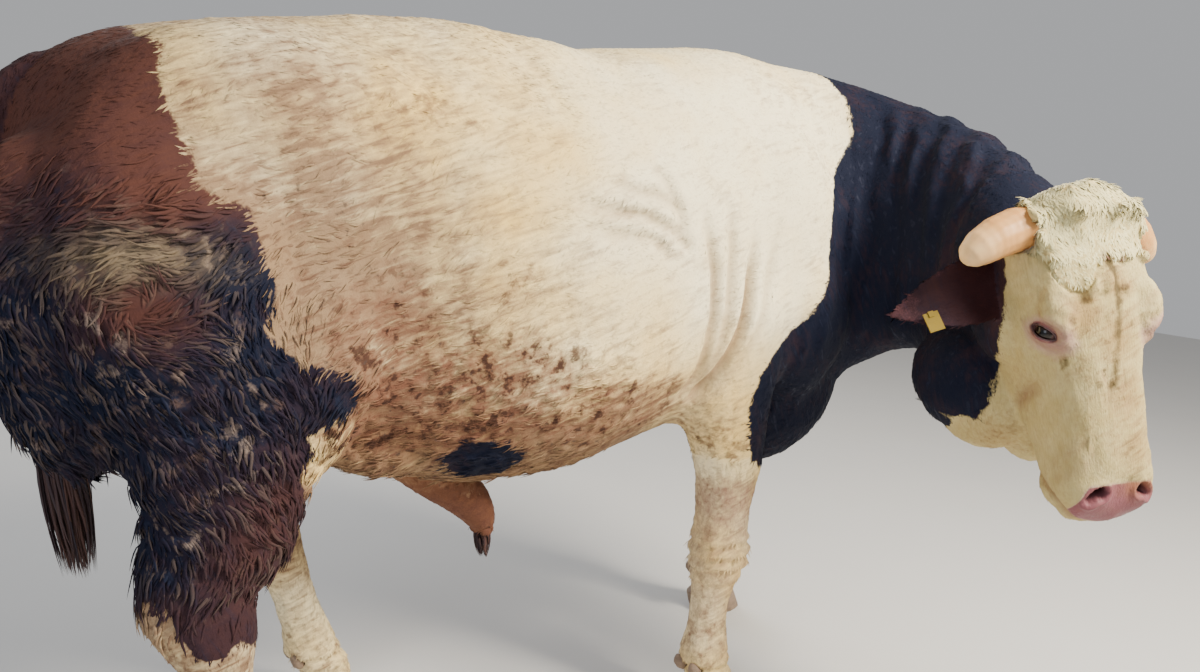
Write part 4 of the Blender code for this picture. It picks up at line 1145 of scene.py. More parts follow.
def lie_of_coat(body):
    """The direction in which the hair lies, along the surface."""
    x, z = body.points.T[[0, 2]]
    count = len(x)
    lie = np.tile((-0.94, 0.0, -0.34), (count, 1))
    back = ease(z, 1.42, 1.52)[:, None]
    lie = lie * (1 - back) + np.array((-1.0, 0, 0)) * back
    thigh = ease(-0.50 - x, 0.0, 0.25)[:, None] * ease(1.16 - z, 0.0, 0.15)[:, None]
    lie = lie * (1 - thigh) + np.array((0.50, 0.0, -0.86)) * thigh
    neck = body.on("neck") | (body.on("torso") & (x > 0.62))
    lie[neck] = (-0.22, 0.42, -0.88)
    lie[body.legs()] = (-0.16, 0.0, -0.98)
    lie[body.on("tail", "scrotum", "sheath")] = (0, 0, -1.0)
    head = body.on("head")
    lie[head] = HEAD_AXES[:, 0] * 0.94 + HEAD_AXES[:, 2] * -0.1
    for name in SIDES:
        lie[body.on("ear_" + name)] = ear_axes(name)[1]
    spin = np.stack([WHORL[1] - z, np.zeros(count), x - WHORL[0]], axis=1)
    whorl = (hump(distance(body.side, WHORL), 0.085) * body.on("torso"))[:, None]
    lie = lie * (1 - whorl) + unit(spin) * whorl
    lie = laid_flat(lie, body.normals)
    angle = 0.55 * ripple(body.points, (0.09, 0.09, 0.07), 6.1)
    angle = angle + 0.45 * ripple(body.points, (0.035, 0.035, 0.03), 2.3)
    angle = angle * np.where(head, 0.5, 1.0)
    across = np.cross(body.normals, lie)
    return lie * np.cos(angle)[:, None] + across * np.sin(angle)[:, None]


def hair_lengths(body, sizes):
    x, z = body.points.T[[0, 2]]
    length = np.full(len(x), sizes.body_length)
    flank = ease(-0.10 - x, 0.0, 0.35) * ease(1.40 - z, 0.0, 0.25) * body.on("torso")
    belly = ease(0.92 - z, 0.0, 0.12) * ease(0.20 - x, 0.0, 0.2) * body.on("torso")
    length += (sizes.flank_length - sizes.body_length) * np.maximum(flank, belly)
    shoulder = ease(x, -0.10, 0.20) * ease(z, 0.75, 0.90) * body.on("torso", "neck")
    length = length * (1 - 0.38 * shoulder)
    length = np.where(body.legs(), sizes.leg_length + 0.010 * ease(z, 0.45, 0.70), length)
    shaggy = hump(np.abs(z - 0.40), 0.07) * body.on(*FORE_LEGS)
    length = length + 0.008 * shaggy
    length = np.where(body.on("head"), sizes.face_length, length)
    cheek = body.on("head") * ease(-0.09 - body.head[:, 2], 0.0, 0.08)
    length = length + 0.004 * cheek
    length = np.where(body.on(*EARS), 0.017, length)
    length = np.where(body.on("scrotum"), 0.008, length)
    length = np.where(body.on("sheath"), 0.014, length)
    return length * (1 - 0.45 * crease_share(body))


def hair_cover(body, length):
    """Tufts wanted per square metre, against those of the body."""
    cover = np.clip(0.021 / length, 0.7, 2.6) ** 1.1
    cover *= 1 - 0.85 * ease(crease_share(body), 0.2, 0.8)
    shoulder = ease(body.points[:, 0], -0.05, 0.20) * ease(body.points[:, 2], 0.75, 0.90)
    cover *= 1 - 0.35 * shoulder * body.on("torso", "neck")
    cover *= 1 - 0.97 * body.muzzle()
    slit = np.hypot(body.eye_gap()[:, 0] / 0.030, body.eye_gap()[:, 1] / 0.017)
    cover *= np.where(body.on("head"), ease(slit, 0.9, 1.2), 1.0)
    cover *= 1 - 0.9 * (body.curls() > 0.4)
    cover *= np.where(body.on("scrotum"), 0.25, 1.0)
    cover *= np.where(body.on("sheath"), 0.45, 1.0)
    ends = ease(body.points[:, 2], 0.058, 0.072)
    return cover * ends


# Locks and tufts

def sampled(weights, count, seed):
    """Roots spread over the skin by weight: their triangles, corner shares and random draw."""
    draw = np.random.default_rng(seed)
    total = np.cumsum(Bull.body.areas(weights))
    picked = np.searchsorted(total, draw.random(count) * total[-1])
    picked = np.minimum(picked, len(total) - 1)
    u, v = draw.random((2, count))
    over = u + v > 1
    u[over] = 1 - u[over]
    v[over] = 1 - v[over]
    shares = np.stack([1 - u - v, u, v], axis=1)
    return picked, shares, draw


def carried(values, picked, shares):
    """A value of the skin's points at the sampled roots."""
    corner_values = values[Bull.body.corners[picked]]
    if values.ndim == 1:
        return np.sum(corner_values * shares, axis=1)
    return np.einsum("nij,ni->nj", corner_values, shares)


def ring_faces(rings, sides):
    """Triangles between rings of points that follow each other."""
    faces = []
    for ring in range(rings - 1):
        for k in range(sides):
            a = ring * sides + k
            b = ring * sides + (k + 1) % sides
            faces += [(a, b, b + sides), (a, b + sides, a + sides)]
    return faces


def lock_mesh(name, spines, across, widths, thick, tones, roots, below=None, below_share=0.4):
    """Closed tapered locks along spines (locks, steps, 3), with the skin's values at their roots."""
    sides = LOCK_SIDES
    count, steps = spines.shape[:2]
    along = unit(np.gradient(spines, axis=1))
    flat = laid_flat(across[:, None], along)
    up = np.cross(along, flat)
    angles = np.arange(sides) * math.tau / sides
    ring = flat[:, :-1, None] * (widths[:, :-1, None, None] * np.cos(angles)[:, None])
    ring = ring + up[:, :-1, None] * (thick[:, :-1, None, None] * np.sin(angles)[:, None])
    ring = ring + spines[:, :-1, None]
    per = (steps - 1) * sides + 1
    points = np.concatenate([ring.reshape(count, -1, 3), spines[:, -1:]], axis=1)
    faces = ring_faces(steps - 1, sides)
    last = (steps - 2) * sides
    for k in range(sides):
        faces.append((last + k, last + (k + 1) % sides, per - 1))
    for k in range(1, sides - 1):
        faces.append((0, k + 1, k))
    faces = np.array(faces)
    all_faces = (faces[None] + (np.arange(count) * per)[:, None, None]).reshape(-1, 3)
    mesh = new_mesh(name, points.reshape(-1, 3), all_faces)
    owner = np.repeat(np.arange(count), per)
    finish_roots(mesh, owner, per, roots, tones)
    if below is not None:
        soften(mesh, below[owner], below_share)
    return mesh


def finish_roots(mesh, owner, per, roots, tones):
    """Gives each lock the skin's markings at its root, and a small patch of the skin's map."""
    for key, values in roots.items():
        if key != "map":
            put_values(mesh, key, values[owner])
    put_values(mesh, "tone", tones[owner])
    put_map(mesh, roots["map"][owner], per)


def root_values(picked, shares):
    values = {key: carried(field, picked, shares) for key, field in Bull.fields.items()}
    values["map"] = np.einsum("nij,ni->nj", Bull.corner_map[picked], shares)
    return values


def tuft_shape(name, bend, lift):
    """One small tapered tuft along X, with its root at the origin and Z away from the skin."""
    mesh = bpy.data.meshes.new(name)
    points = [
        (0.00, -0.38, -0.45), (0.00, 0.38, -0.45), (0.00, 0.00, 0.25),
        (0.48, -0.50 + bend * 0.4, 0.10), (0.48, 0.50 + bend * 0.4, 0.10),
        (0.48, bend * 0.4, 0.55 + lift * 0.4), (1.00, bend, 0.15 + lift),
    ]
    faces = [
        (0, 2, 1), (0, 1, 4, 3), (1, 2, 5, 4), (2, 0, 3, 5), (3, 4, 6), (4, 5, 6), (5, 3, 6),
    ]
    mesh.from_pydata(points, [], faces)
    mesh.update()
    return bpy.data.objects.new(name, mesh)


def coat_tree(shapes):
    """Nodes that spread tufts over the skin, lay them along the hair and make them real."""
    tree = bpy.data.node_groups.new("short_coat", "GeometryNodeTree")
    sockets = tree.interface
    sockets.new_socket("Geometry", in_out="INPUT", socket_type="NodeSocketGeometry")
    for name in ("Density", "Width", "Height"):
        sockets.new_socket(name, in_out="INPUT", socket_type="NodeSocketFloat")
    sockets.new_socket("Seed", in_out="INPUT", socket_type="NodeSocketInt")
    sockets.new_socket("Coat", in_out="INPUT", socket_type="NodeSocketMaterial")
    sockets.new_socket("Geometry", in_out="OUTPUT", socket_type="NodeSocketGeometry")

    def add(kind, settings=None, **links):
        node = tree.nodes.new(kind)
        for key, value in (settings or {}).items():
            setattr(node, key, value)
        for key, value in links.items():
            index = int(key[1:]) if key[1:].isdigit() and key[0] == "i" else key
            socket = node.inputs[index]
            if isinstance(value, bpy.types.NodeSocket):
                tree.links.new(value, socket)
            else:
                socket.default_value = value
        return node

    def stored(name, kind="FLOAT"):
        return add("GeometryNodeInputNamedAttribute", {"data_type": kind}, Name=name).outputs[0]

    def times(a, b):
        return add("ShaderNodeMath", {"operation": "MULTIPLY"}, i0=a, i1=b).outputs[0]

    given = tree.nodes.new("NodeGroupInput").outputs
    density = times(given["Density"], stored("cover"))
    spread = add("GeometryNodeDistributePointsOnFaces", {"distribute_method": "RANDOM"},
                 Mesh=given["Geometry"], Seed=given["Seed"])
    tree.links.new(density, spread.inputs["Density"])
    upright = add("FunctionNodeAlignRotationToVector", {"axis": "Z"}, Vector=spread.outputs["Normal"])
    laid = add("FunctionNodeAlignRotationToVector", {"axis": "X", "pivot_axis": "Z"},
               Rotation=upright.outputs[0], Vector=stored("lie", "FLOAT_VECTOR"))

    def random_between(low, high, seed):
        node = add("FunctionNodeRandomValue", {"data_type": "FLOAT"}, Seed=seed)
        node.inputs[2].default_value = low
        node.inputs[3].default_value = high
        return node.outputs[1]

    swing = add("FunctionNodeAxisAngleToRotation", Axis=(0, 0, 1), Angle=random_between(-0.4, 0.4, 3))
    turned = add("FunctionNodeRotateRotation", {"rotation_space": "LOCAL"},
                 Rotation=laid.outputs[0])
    tree.links.new(swing.outputs[0], turned.inputs[1])
    long = times(stored("hair"), random_between(0.65, 1.30, 1))
    wide = times(times(stored("fine"), given["Width"]), random_between(0.7, 1.35, 2))
    high = times(times(stored("fine"), given["Height"]), random_between(0.6, 1.5, 4))
    size = add("ShaderNodeCombineXYZ", X=long, Y=wide, Z=high)
    joined = tree.nodes.new("GeometryNodeJoinGeometry")
    for shape in shapes:
        info = add("GeometryNodeObjectInfo", {"transform_space": "ORIGINAL"}, Object=shape)
        single = add("GeometryNodeGeometryToInstance", Geometry=info.outputs["Geometry"])
        tree.links.new(single.outputs[0], joined.inputs[0])
    which = add("FunctionNodeRandomValue", {"data_type": "INT"}, Seed=7)
    which.inputs[4].default_value = 0
    which.inputs[5].default_value = len(shapes) - 1
    placed = add("GeometryNodeInstanceOnPoints", Points=spread.outputs["Points"],
                 Instance=joined.outputs[0], Rotation=turned.outputs[0], Scale=size.outputs[0])
    placed.inputs["Pick Instance"].default_value = True
    tree.links.new(which.outputs[2], placed.inputs["Instance Index"])
    toned = add("GeometryNodeStoreNamedAttribute", {"data_type": "FLOAT", "domain": "INSTANCE"},
                Geometry=placed.outputs[0], Name="tone", Value=random_between(0.0, 1.0, 5))
    real = add("GeometryNodeRealizeInstances", Geometry=toned.outputs[0])
    coated = add("GeometryNodeSetMaterial", Geometry=real.outputs[0], Material=given["Coat"])
    end = tree.nodes.new("NodeGroupOutput")
    tree.links.new(coated.outputs[0], end.inputs[0])
    return tree


def short_coat(name, holder, tree, density, weights, look, fine, seed):
    """One piece of the short coat, spread where the weights are above nothing."""
    put_values(holder.data, "cover", weights)
    modifier = holder.modifiers.new("coat", "NODES")
    modifier.node_group = tree
    wanted = {"Density": density, "Width": fine, "Height": fine * 0.42, "Seed": seed, "Coat": look}
    for item in tree.interface.items_tree:
        if item.item_type == "SOCKET" and item.in_out == "INPUT" and item.name in wanted:
            modifier[item.identifier] = wanted[item.name]
    holder.data.update()
    mesh = applied(holder)
    holder.modifiers.remove(modifier)
    if len(mesh.vertices) == 0:
        raise RuntimeError("no tufts on " + name)
    roots = stored_vectors(mesh, "root_map")[:, :2]
    below = stored_vectors(mesh, "below")
    for unused in ("root_map", "below", "cover", "lie", "hair", "fine", "OFBake"):
        if unused in mesh.attributes:
            mesh.attributes.remove(mesh.attributes[unused])
    put_map(mesh, roots, TUFT_POINTS)
    mesh.shade_smooth()
    soften(mesh, below, 0.80)
    mesh.name = name
    return new_piece(name, mesh, look)


# Looks

def coat_look(name, colours, streak_strength):
    """Hair in the markings of the animal, for the skin and for what grows on it."""
    look = Look(name, Roughness=0.78, Sheen_Weight=0.015, Sheen_Roughness=0.45,
                Specular_IOR_Level=0.10)
    brown, dark, soil, bare, tone, stain_and_shade, facial = (
        look.value(key) for key in ("brown", "dark", "soil", "bare", "tone", "stain_and_shade", "facial")
    )
    broad = look.noise(9.0, 3.0)
    small = look.noise(42.0, 3.0)
    grain = look.noise(260.0, 2.0)
    clots = look.noise(30.0, 4.0, roughness=0.65)
    specks = look.noise(75.0, 2.0, roughness=0.6)
    pores = look.noise(120.0, 3.0)
    lengthwise = look.noise(1.0, 3.0, look.turned((0, 0.34, 0), BODY_STRANDS), warp=0.6)
    steep = look.noise(1.0, 3.0, look.turned((0, -1.05, 0), BODY_STRANDS), warp=0.6)
    down_face = look.turned((0, -1.196, 0), FACE_STRANDS, look.turned((0, 0, 1.890), (1, 1, 1)))
    fur = look.noise(1.0, 3.0, down_face, warp=0.4)
    edge = (small - 0.5) * 0.026 + (grain - 0.5) * 0.010 + (tone - 0.5) * 0.010
    is_brown = (brown + edge).step(-0.004, 0.004)
    trunk = 1 - facial

    head = look.paint(
        colours.face,
        ((small * 0.9 + broad * 0.8 - 0.45).clip(), (0.62, 0.54, 0.29)),
        (fur.over(0.42, 2.2) * 0.50, (0.30, 0.215, 0.085)),
        (tone.over(0.6, 2.5) * 0.25, (0.74, 0.67, 0.42)),
    )
    shade = (lengthwise - 0.5) * 1.4 + (tone - 0.5) * 0.75 + 0.40
    stained_and_shaded = (stain_and_shade * 1.45 + (lengthwise - 0.5) * 1.3 + (small - 0.5) * 0.8 - 0.08).clip()
    dirty = (soil * 1.25 + (clots - 0.5) * 2.2 + (lengthwise - 0.5) * 1.0 - 0.52).clip()
    lumps = clots + (small - 0.5) * 0.4
    clotted = lumps.over(0.555, 11.0) * (soil * 1.5 - 0.35).clip() * trunk
    speck = specks.over(0.63, 9.0) * (soil * 0.8 + stain_and_shade * 0.9).clip() * trunk
    white = look.paint(
        colours.white,
        ((look.value("cream") + (broad - 0.5) * 0.9).clip(), colours.cream),
        (facial, head),
        (shade.clip() * (0.22 + stain_and_shade * 0.2), (0.42, 0.27, 0.16)),
        # Staining with its dark streaks and strokes; under the jaw, in the cheek fold and at the corner of
        # the mouth it is painted shade, and on the upper forearm and the sheath partly painted shade.
        (stained_and_shaded * 0.88, look.mix(facial, colours.stain_and_shade, (0.33, 0.215, 0.085))),
        (lengthwise.over(0.55, 6.0) * stain_and_shade * 0.75, (0.11, 0.058, 0.036)),
        (tone.over(0.72, 7.0) * (stain_and_shade * 1.4 - 0.2).clip() * 0.60, (0.13, 0.072, 0.045)),
        # Painted shade at the bottom of the shoulder folds and the creases of the face.
        (look.value("crease") * 0.85, (0.30, 0.190, 0.105)),
        (dirty * 0.92, look.mix(facial, colours.soil, (0.105, 0.072, 0.030))),
        (clotted * 0.85, (0.040, 0.018, 0.013)),
        (speck * 0.75, (0.065, 0.044, 0.036)),
    )

    streaks = look.node("ShaderNodeSeparateColor", {}, {0: look.mix(dark, lengthwise, steep)})
    blackness = (dark + (broad - 0.5) * 0.55 + (streaks - 0.5) * 0.5).clip()
    # Glossy streaks of the dark hair: smoother, and lit by a painted bluish sheen.
    gleam = (steep - 0.57).step(0.0, 0.14) * dark
    matted = (look.value("matted") * (0.7 + small * 0.6)).clip() * trunk * (brown * 12.0).clip()
    clumps = (broad * 0.5 + clots * 0.5).over(0.590, 14.0)
    deep = look.paint(
        colours.red,
        (blackness, colours.dark),
        # Painted bluish sheen on the glossy streaks.
        (gleam * 0.30, (0.019, 0.022, 0.048)),
        (clots.over(0.56, 7.0) * matted * 0.50, (0.13, 0.080, 0.060)),
        # Painted highlights on some wet locks of the matted thigh.
        (tone.over(0.64, 8.0) * broad.over(0.36, 4.0) * matted * 0.50, (0.115, 0.083, 0.066)),
        (clumps * matted * 0.55, (0.23, 0.175, 0.145)),
        ((look.value("pale") * (1.0 + (clots - 0.5) * 3.5)).clip() * 0.8, (0.21, 0.155, 0.095)),
    )

    pink = look.paint(
        colours.skin,
        ((pores - 0.35).clip(), (0.25, 0.095, 0.095)),
        ((1 - (bare - 0.5) * 4.0).clip() * facial, (0.62, 0.37, 0.37)),
        (dark * 0.35, (0.10, 0.05, 0.05)),
        ((stain_and_shade * 0.75).clip(), (0.26, 0.125, 0.085)),
        ((soil * 0.9 + (small - 0.5) * 0.6).clip() * 0.8, (0.30, 0.13, 0.05)),
    )
    naked = (bare * 1.4 + (small - 0.5) * 0.6 + (grain - 0.5) * 0.5 - 0.2).clip()
    colour = look.paint(
        white,
        (is_brown, deep),
        (naked, pink),
        # Near-black painted shade inside the nostrils and the hollows of the ears.
        ((look.value("deep") * 1.15).clip(), (0.022, 0.006, 0.007)),
    )
    rough = 0.82 - naked * 0.38 - gleam * 0.25
    height = (lengthwise * 0.6 + steep * 0.4) * trunk + grain * 0.4 + fur * facial * 1.3
    normal = look.bump(clots, 0.35, 0.0030, look.bump(height, streak_strength, 0.0020))
    return look.drive(Base_Color=colour, Roughness=rough, Normal=normal)


def curl_look(colours):
    """Cream locks of the poll, with painted shade at their roots, between the locks."""
    look = Look("curly_coat", Roughness=0.80, Sheen_Weight=0.15, Specular_IOR_Level=0.20)
    tone = look.value("tone")
    root = look.value("root")
    strands = look.noise(420.0, 2.0)
    broad = look.noise(16.0, 3.0)
    soil = look.value("soil")
    cream = look.paint(
        (0.72, 0.66, 0.36),
        ((broad * 0.9 + tone * 0.30 - 0.25).clip(), colours.face),
        # Painted shade at the roots of the locks.
        (((1 - root) * 0.15).clip(), (0.50, 0.38, 0.18)),
        (strands.over(0.55, 1.6) * 0.3, (0.50, 0.38, 0.18)),
        ((soil * 1.1 + (broad - 0.6)).clip(), colours.soil),
    )
    return look.drive(Base_Color=cream, Normal=look.bump(strands, 0.5, 0.0012))


def dark_lock_look(colours):
    look = Look("dark_locks", Roughness=0.62, Specular_IOR_Level=0.3)
    tone = look.value("tone")
    strands = look.noise(300.0, 2.0)
    colour = look.mix((tone * 0.7 + strands * 0.3).clip(), colours.dark, (0.085, 0.035, 0.024))
    return look.drive(Base_Color=colour, Normal=look.bump(strands, 0.5, 0.0012))


def horn_look(colours):
    look = Look("horn", Roughness=0.42, Subsurface_Weight=0.06, Specular_IOR_Level=0.45)
    along = look.value("along")
    fibres = look.noise(70.0, 4.0)
    broad = look.noise(22.0, 3.0)
    colour = look.node("ShaderNodeValToRGB", {"stops": (
        (0.00, (0.34, 0.17, 0.075)), (0.25, (0.58, 0.275, 0.085)), (0.62, (0.62, 0.315, 0.105)),
        (1.00, colours.horn),
    )}, {0: (along + (broad - 0.5) * 0.35).clip()})
    colour = look.mix(fibres.over(0.5, 1.8) * 0.40, colour, (0.42, 0.24, 0.12))
    rings = look.node("ShaderNodeMath", {"operation": "SINE"}, {0: along * 62.0 + broad * 5.0})
    height = rings * 0.14 + fibres * 0.6
    rough = 0.34 + fibres * 0.30
    return look.drive(Base_Color=colour, Roughness=rough, Normal=look.bump(height, 0.35, 0.0014))


def hoof_look(colours):
    look = Look("hoof", Roughness=0.55, Specular_IOR_Level=0.4)
    layers = look.noise(1.0, 3.0, look.turned((0, 0, 0), (22.0, 22.0, 190.0)))
    broad = look.noise(40.0, 4.0)
    colour = look.mix(layers, colours.hoof, (0.30, 0.215, 0.15))
    colour = look.mix(broad.over(0.48, 3.0) * 0.6, colour, (0.075, 0.05, 0.038))
    rough = 0.48 + broad * 0.3
    normal = look.bump(layers, 0.55, 0.0020)
    return look.drive(Base_Color=colour, Roughness=rough, Normal=look.bump(broad, 0.3, 0.002, normal))


def tag_look(colours):
    look = Look("tag_plastic", Roughness=0.70, Specular_IOR_Level=0.12)
    scuff = look.noise(160.0, 4.0)
    broad = look.noise(60.0, 3.0)
    colour = look.mix((broad - 0.45).clip() * 0.9, colours.tag, (0.11, 0.07, 0.01))
    rough = 0.60 + scuff * 0.25
    return look.drive(Base_Color=colour, Roughness=rough, Normal=look.bump(scuff, 0.12, 0.0006))


def eye_look():
    """Dark brown iris with a long pupil, under a wet surface."""
    look = Look("eye", Roughness=0.16, Coat_Weight=0.35, Coat_Roughness=0.05, IOR=1.33)
    iris, pupil = look.value("iris"), look.value("pupil")
    fibres = look.noise(420.0, 3.0)
    brown = look.mix((fibres - 0.3).clip(), (0.008, 0.004, 0.003), (0.030, 0.013, 0.007))
    white = look.mix(fibres * 0.5, (0.16, 0.10, 0.09), (0.10, 0.045, 0.040))
    colour = look.mix(iris.step(0.88, 1.0), brown, white)
    colour = look.mix(pupil.step(0.92, 1.02), (0.002, 0.002, 0.003), colour)
    return look.drive(Base_Color=colour)


def lid_look():
    look = Look("lid_rim", Roughness=0.38, Specular_IOR_Level=0.5)
    wet = look.noise(180.0, 3.0)
    colour = look.mix((wet * 0.9).clip(), (0.050, 0.024, 0.026), (0.17, 0.080, 0.078))
    return look.drive(Base_Color=colour, Normal=look.bump(wet, 0.3, 0.0008))


# Operators, one for each piece or group of like pieces

class BULL_OT_skin(Operator):
    """Grow the flesh together into one skin, carve its folds and paint its markings"""

    bl_idname = "bull.skin"
    bl_label = "Skin"

    def execute(self, context):
        sizes = context.scene.bull_skin
        colours = context.scene.bull_colours
        mesh = remeshed(FLESH + ("eye_right", "eye_left"), sizes.voxel * VOXEL_SCALE)
        points, corners = mesh_arrays(mesh)
        edges = mesh_edges(mesh)
        labels = labels_of(points)
        thin = np.isin(labels, [LABELS[name] for name in EARS])
        points = relax(points, edges, 14, np.where(thin, 0.45, 1.0))
        points = trimmed_tips(points, labels)
        body = Body(points, corners)
        nose = hump(distance(body.half_head(), (0.560, 0.054, -0.034)), 0.046)
        nose = ease(nose, 0.10, 0.5) * body.on("head")
        body.points = relax(points, edges, 90, body.curls(), 1.0)
        body.points = relax(body.points, edges, 140, nose, 1.0)
        body.normals = point_normals(body.points, corners)
        body.points = body.points - body.normals * coat_depth(body, sizes)[:, None]
        body.points = body.points + body.normals * sculpt(body)[:, None]
        move_points(mesh, body.points)
        holder = bpy.data.objects.new("skin_source", mesh)
        context.scene.collection.objects.link(holder)
        thinned = holder.modifiers.new("thin", "DECIMATE")
        thinned.ratio = min(1.0, sizes.triangles * TRIANGLE_SHARE / len(corners))
        thinned.use_collapse_triangulate = True
        final = applied(holder)
        bpy.data.objects.remove(holder)
        refine_head(final)
        points, corners = mesh_arrays(final)
        Bull.body = body = Body(points, corners)
        Bull.fields = marking_values(body)
        body.points = points + body.normals * face_relief(body)[:, None]
        body.points = set_nostrils(body)
        body.points = set_eyes(body)
        body.points[:, 2] = np.maximum(body.points[:, 2], SOLE_HEIGHT)
        body.normals = point_normals(body.points, corners)
        move_points(final, body.points)
        for key, values in Bull.fields.items():
            put_values(final, key, values)
        put_values(final, "tone", np.full(len(points), 0.35))
        look = coat_look("skin_coat", colours, 0.55)
        Bull.looks["skin"] = look
        Bull.skin = new_piece("skin", final, look, FLESH)
        final.shade_smooth()
        self.unwrap(context)
        return {"FINISHED"}

    def unwrap(self, context):
        """Lays the skin out flat, so that tufts can take their place in its map."""
        skin = Bull.skin
        skin.data.uv_layers.new(name="OFBake")
        context.view_layer.objects.active = skin
        skin.select_set(True)
        bpy.ops.object.mode_set(mode="EDIT")
        bpy.ops.mesh.select_all(action="SELECT")
        bpy.ops.uv.smart_project(angle_limit=math.radians(66), island_margin=0.002)
        bpy.ops.object.mode_set(mode="OBJECT")
        skin.select_set(False)
        mesh = skin.data
        mesh.calc_loop_triangles()
        loops = np.empty(len(mesh.loop_triangles) * 3, dtype=np.int64)
        mesh.loop_triangles.foreach_get("loops", loops)
        Bull.corner_map = map_places(mesh)[loops].reshape(-1, 3, 2)


class BULL_OT_short_coat(Operator):
    """Spread the short tufts of the body, legs, ears and face with geometry nodes"""

    bl_idname = "bull.short_coat"
    bl_label = "Short coat"

    def execute(self, context):
        sizes = context.scene.bull_coat
        body = Bull.body
        look = coat_look("short_coat", context.scene.bull_colours, 0.30)
        Bull.looks["coat"] = look
        shapes = [tuft_shape("tuft_a", 0.0, 0.30), tuft_shape("tuft_b", 0.45, 0.15),
                  tuft_shape("tuft_c", -0.45, 0.45)]
        tree = coat_tree(shapes)
        mesh = Bull.skin.data.copy()
        holder = bpy.data.objects.new("coat_source", mesh)
        context.scene.collection.objects.link(holder)
        length = hair_lengths(body, sizes)
        cover = hair_cover(body, length)
        put_values(mesh, "lie", lie_of_coat(body))
        put_values(mesh, "hair", length)
        put_values(mesh, "below", body.normals)
        put_values(mesh, "fine", np.clip(np.sqrt(length / 0.021), 0.6, 1.15))
        self.root_map(mesh)
        density = sizes.tufts * HAIR_SHARE / float(np.sum(body.areas(cover)))
        x = body.points[:, 0]
        trunk = body.on("torso", "scrotum", "sheath", "tail")
        parts = {
            "coat_flank_right": trunk & (body.mirror < 0) & (x > -0.30),
            "coat_rump_right": trunk & (body.mirror < 0) & (x <= -0.30),
            "coat_flank_left": trunk & (body.mirror >= 0) & (x > -0.30),
            "coat_rump_left": trunk & (body.mirror >= 0) & (x <= -0.30),
            "coat_neck": body.on("neck"),
            "coat_face": body.on("head", *EARS),
            "coat_legs": body.legs(),
        }
        for number, (name, mask) in enumerate(parts.items()):
            fine = 0.0026 if name == "coat_face" else 0.0038
            short_coat(name, holder, tree, density, cover * mask, look, fine, sizes.seed + number)
        bpy.data.objects.remove(holder)
        for shape in shapes:
            bpy.data.objects.remove(shape)
        return {"FINISHED"}

    def root_map(self, mesh):
        """Stores each point's place in the skin's map, for the tufts that grow from it."""
        places = np.zeros((len(mesh.loops), 3))
        places[:, :2] = map_places(mesh)
        attribute = mesh.attributes.new("root_map", "FLOAT_VECTOR", "CORNER")
        attribute.data.foreach_set("vector", places.astype(np.float32).ravel())


class BULL_OT_poll_curls(Operator):
    """Comb fine wavy locks over the poll"""

    bl_idname = "bull.poll_curls"
    bl_label = "Poll curls"

    def execute(self, context):
        sizes = context.scene.bull_coat
        body = Bull.body
        look = curl_look(context.scene.bull_colours)
        count = POLL_LOCKS
        weights = ease(body.curls(), 0.05, 0.5)
        picked, shares, draw = sampled(weights, count, sizes.seed + 40)
        root = carried(body.points, picked, shares)
        tall = carried(body.curl_height(), picked, shares)
        normal = unit(carried(body.normals, picked, shares))
        place = on_head(root)
        swing = 1.1 * ripple(place, (0.050, 0.030, 0.040), 3.3) + 0.5 * ripple(place, (0.018,) * 3, 1.2)
        swing = swing + 0.16 * draw.normal(size=count)
        lie = np.cos(swing)[:, None] * HEAD_AXES[:, 0] + np.sin(swing)[:, None] * HEAD_AXES[:, 1]
        lie = laid_flat(lie, normal)
        side = np.cross(normal, lie)
        steps = 5
        t = np.linspace(0, 1, steps)[None, :, None]
        grow = (0.55 + 0.45 * tall)[:, None, None]
        long = sizes.curl_length * (0.7 + 0.6 * draw.random(count))
        long = long[:, None, None] * grow
        phase = (draw.random(count) * math.tau)[:, None, None]
        bend = (0.0013 * (0.5 + draw.random(count)))[:, None, None] * grow
        arch = (0.0006 + 0.0026 * draw.random(count) ** 2)[:, None, None] * grow
        out = arch * np.sin(np.clip(t * 1.05, 0, 1) * math.pi) + 0.0010
        spines = root[:, None] + normal[:, None] * (out - 0.0022)
        spines = spines + lie[:, None] * (long * t)
        spines = spines + side[:, None] * (bend * np.sin(t * 5.0 + phase))
        share = np.array((0.8, 1.0, 0.95, 0.6, 0.0))[None]
        widths = 0.0021 * share * (0.7 + 0.6 * draw.random(count))[:, None] * grow[:, :, 0]
        mesh = lock_mesh("poll_curls", spines, side, widths, widths * 0.55, draw.random(count),
                         root_values(picked, shares), normal, 0.80)
        # How far along each lock a point is, for the painted shade at its root.
        level = np.concatenate([np.repeat(np.linspace(0, 1, steps)[:-1], LOCK_SIDES), [1.0]])
        put_values(mesh, "root", np.clip(np.tile(level, count) * 2.0, 0, 1))
        new_piece("poll_curls", mesh, look)
        return {"FINISHED"}


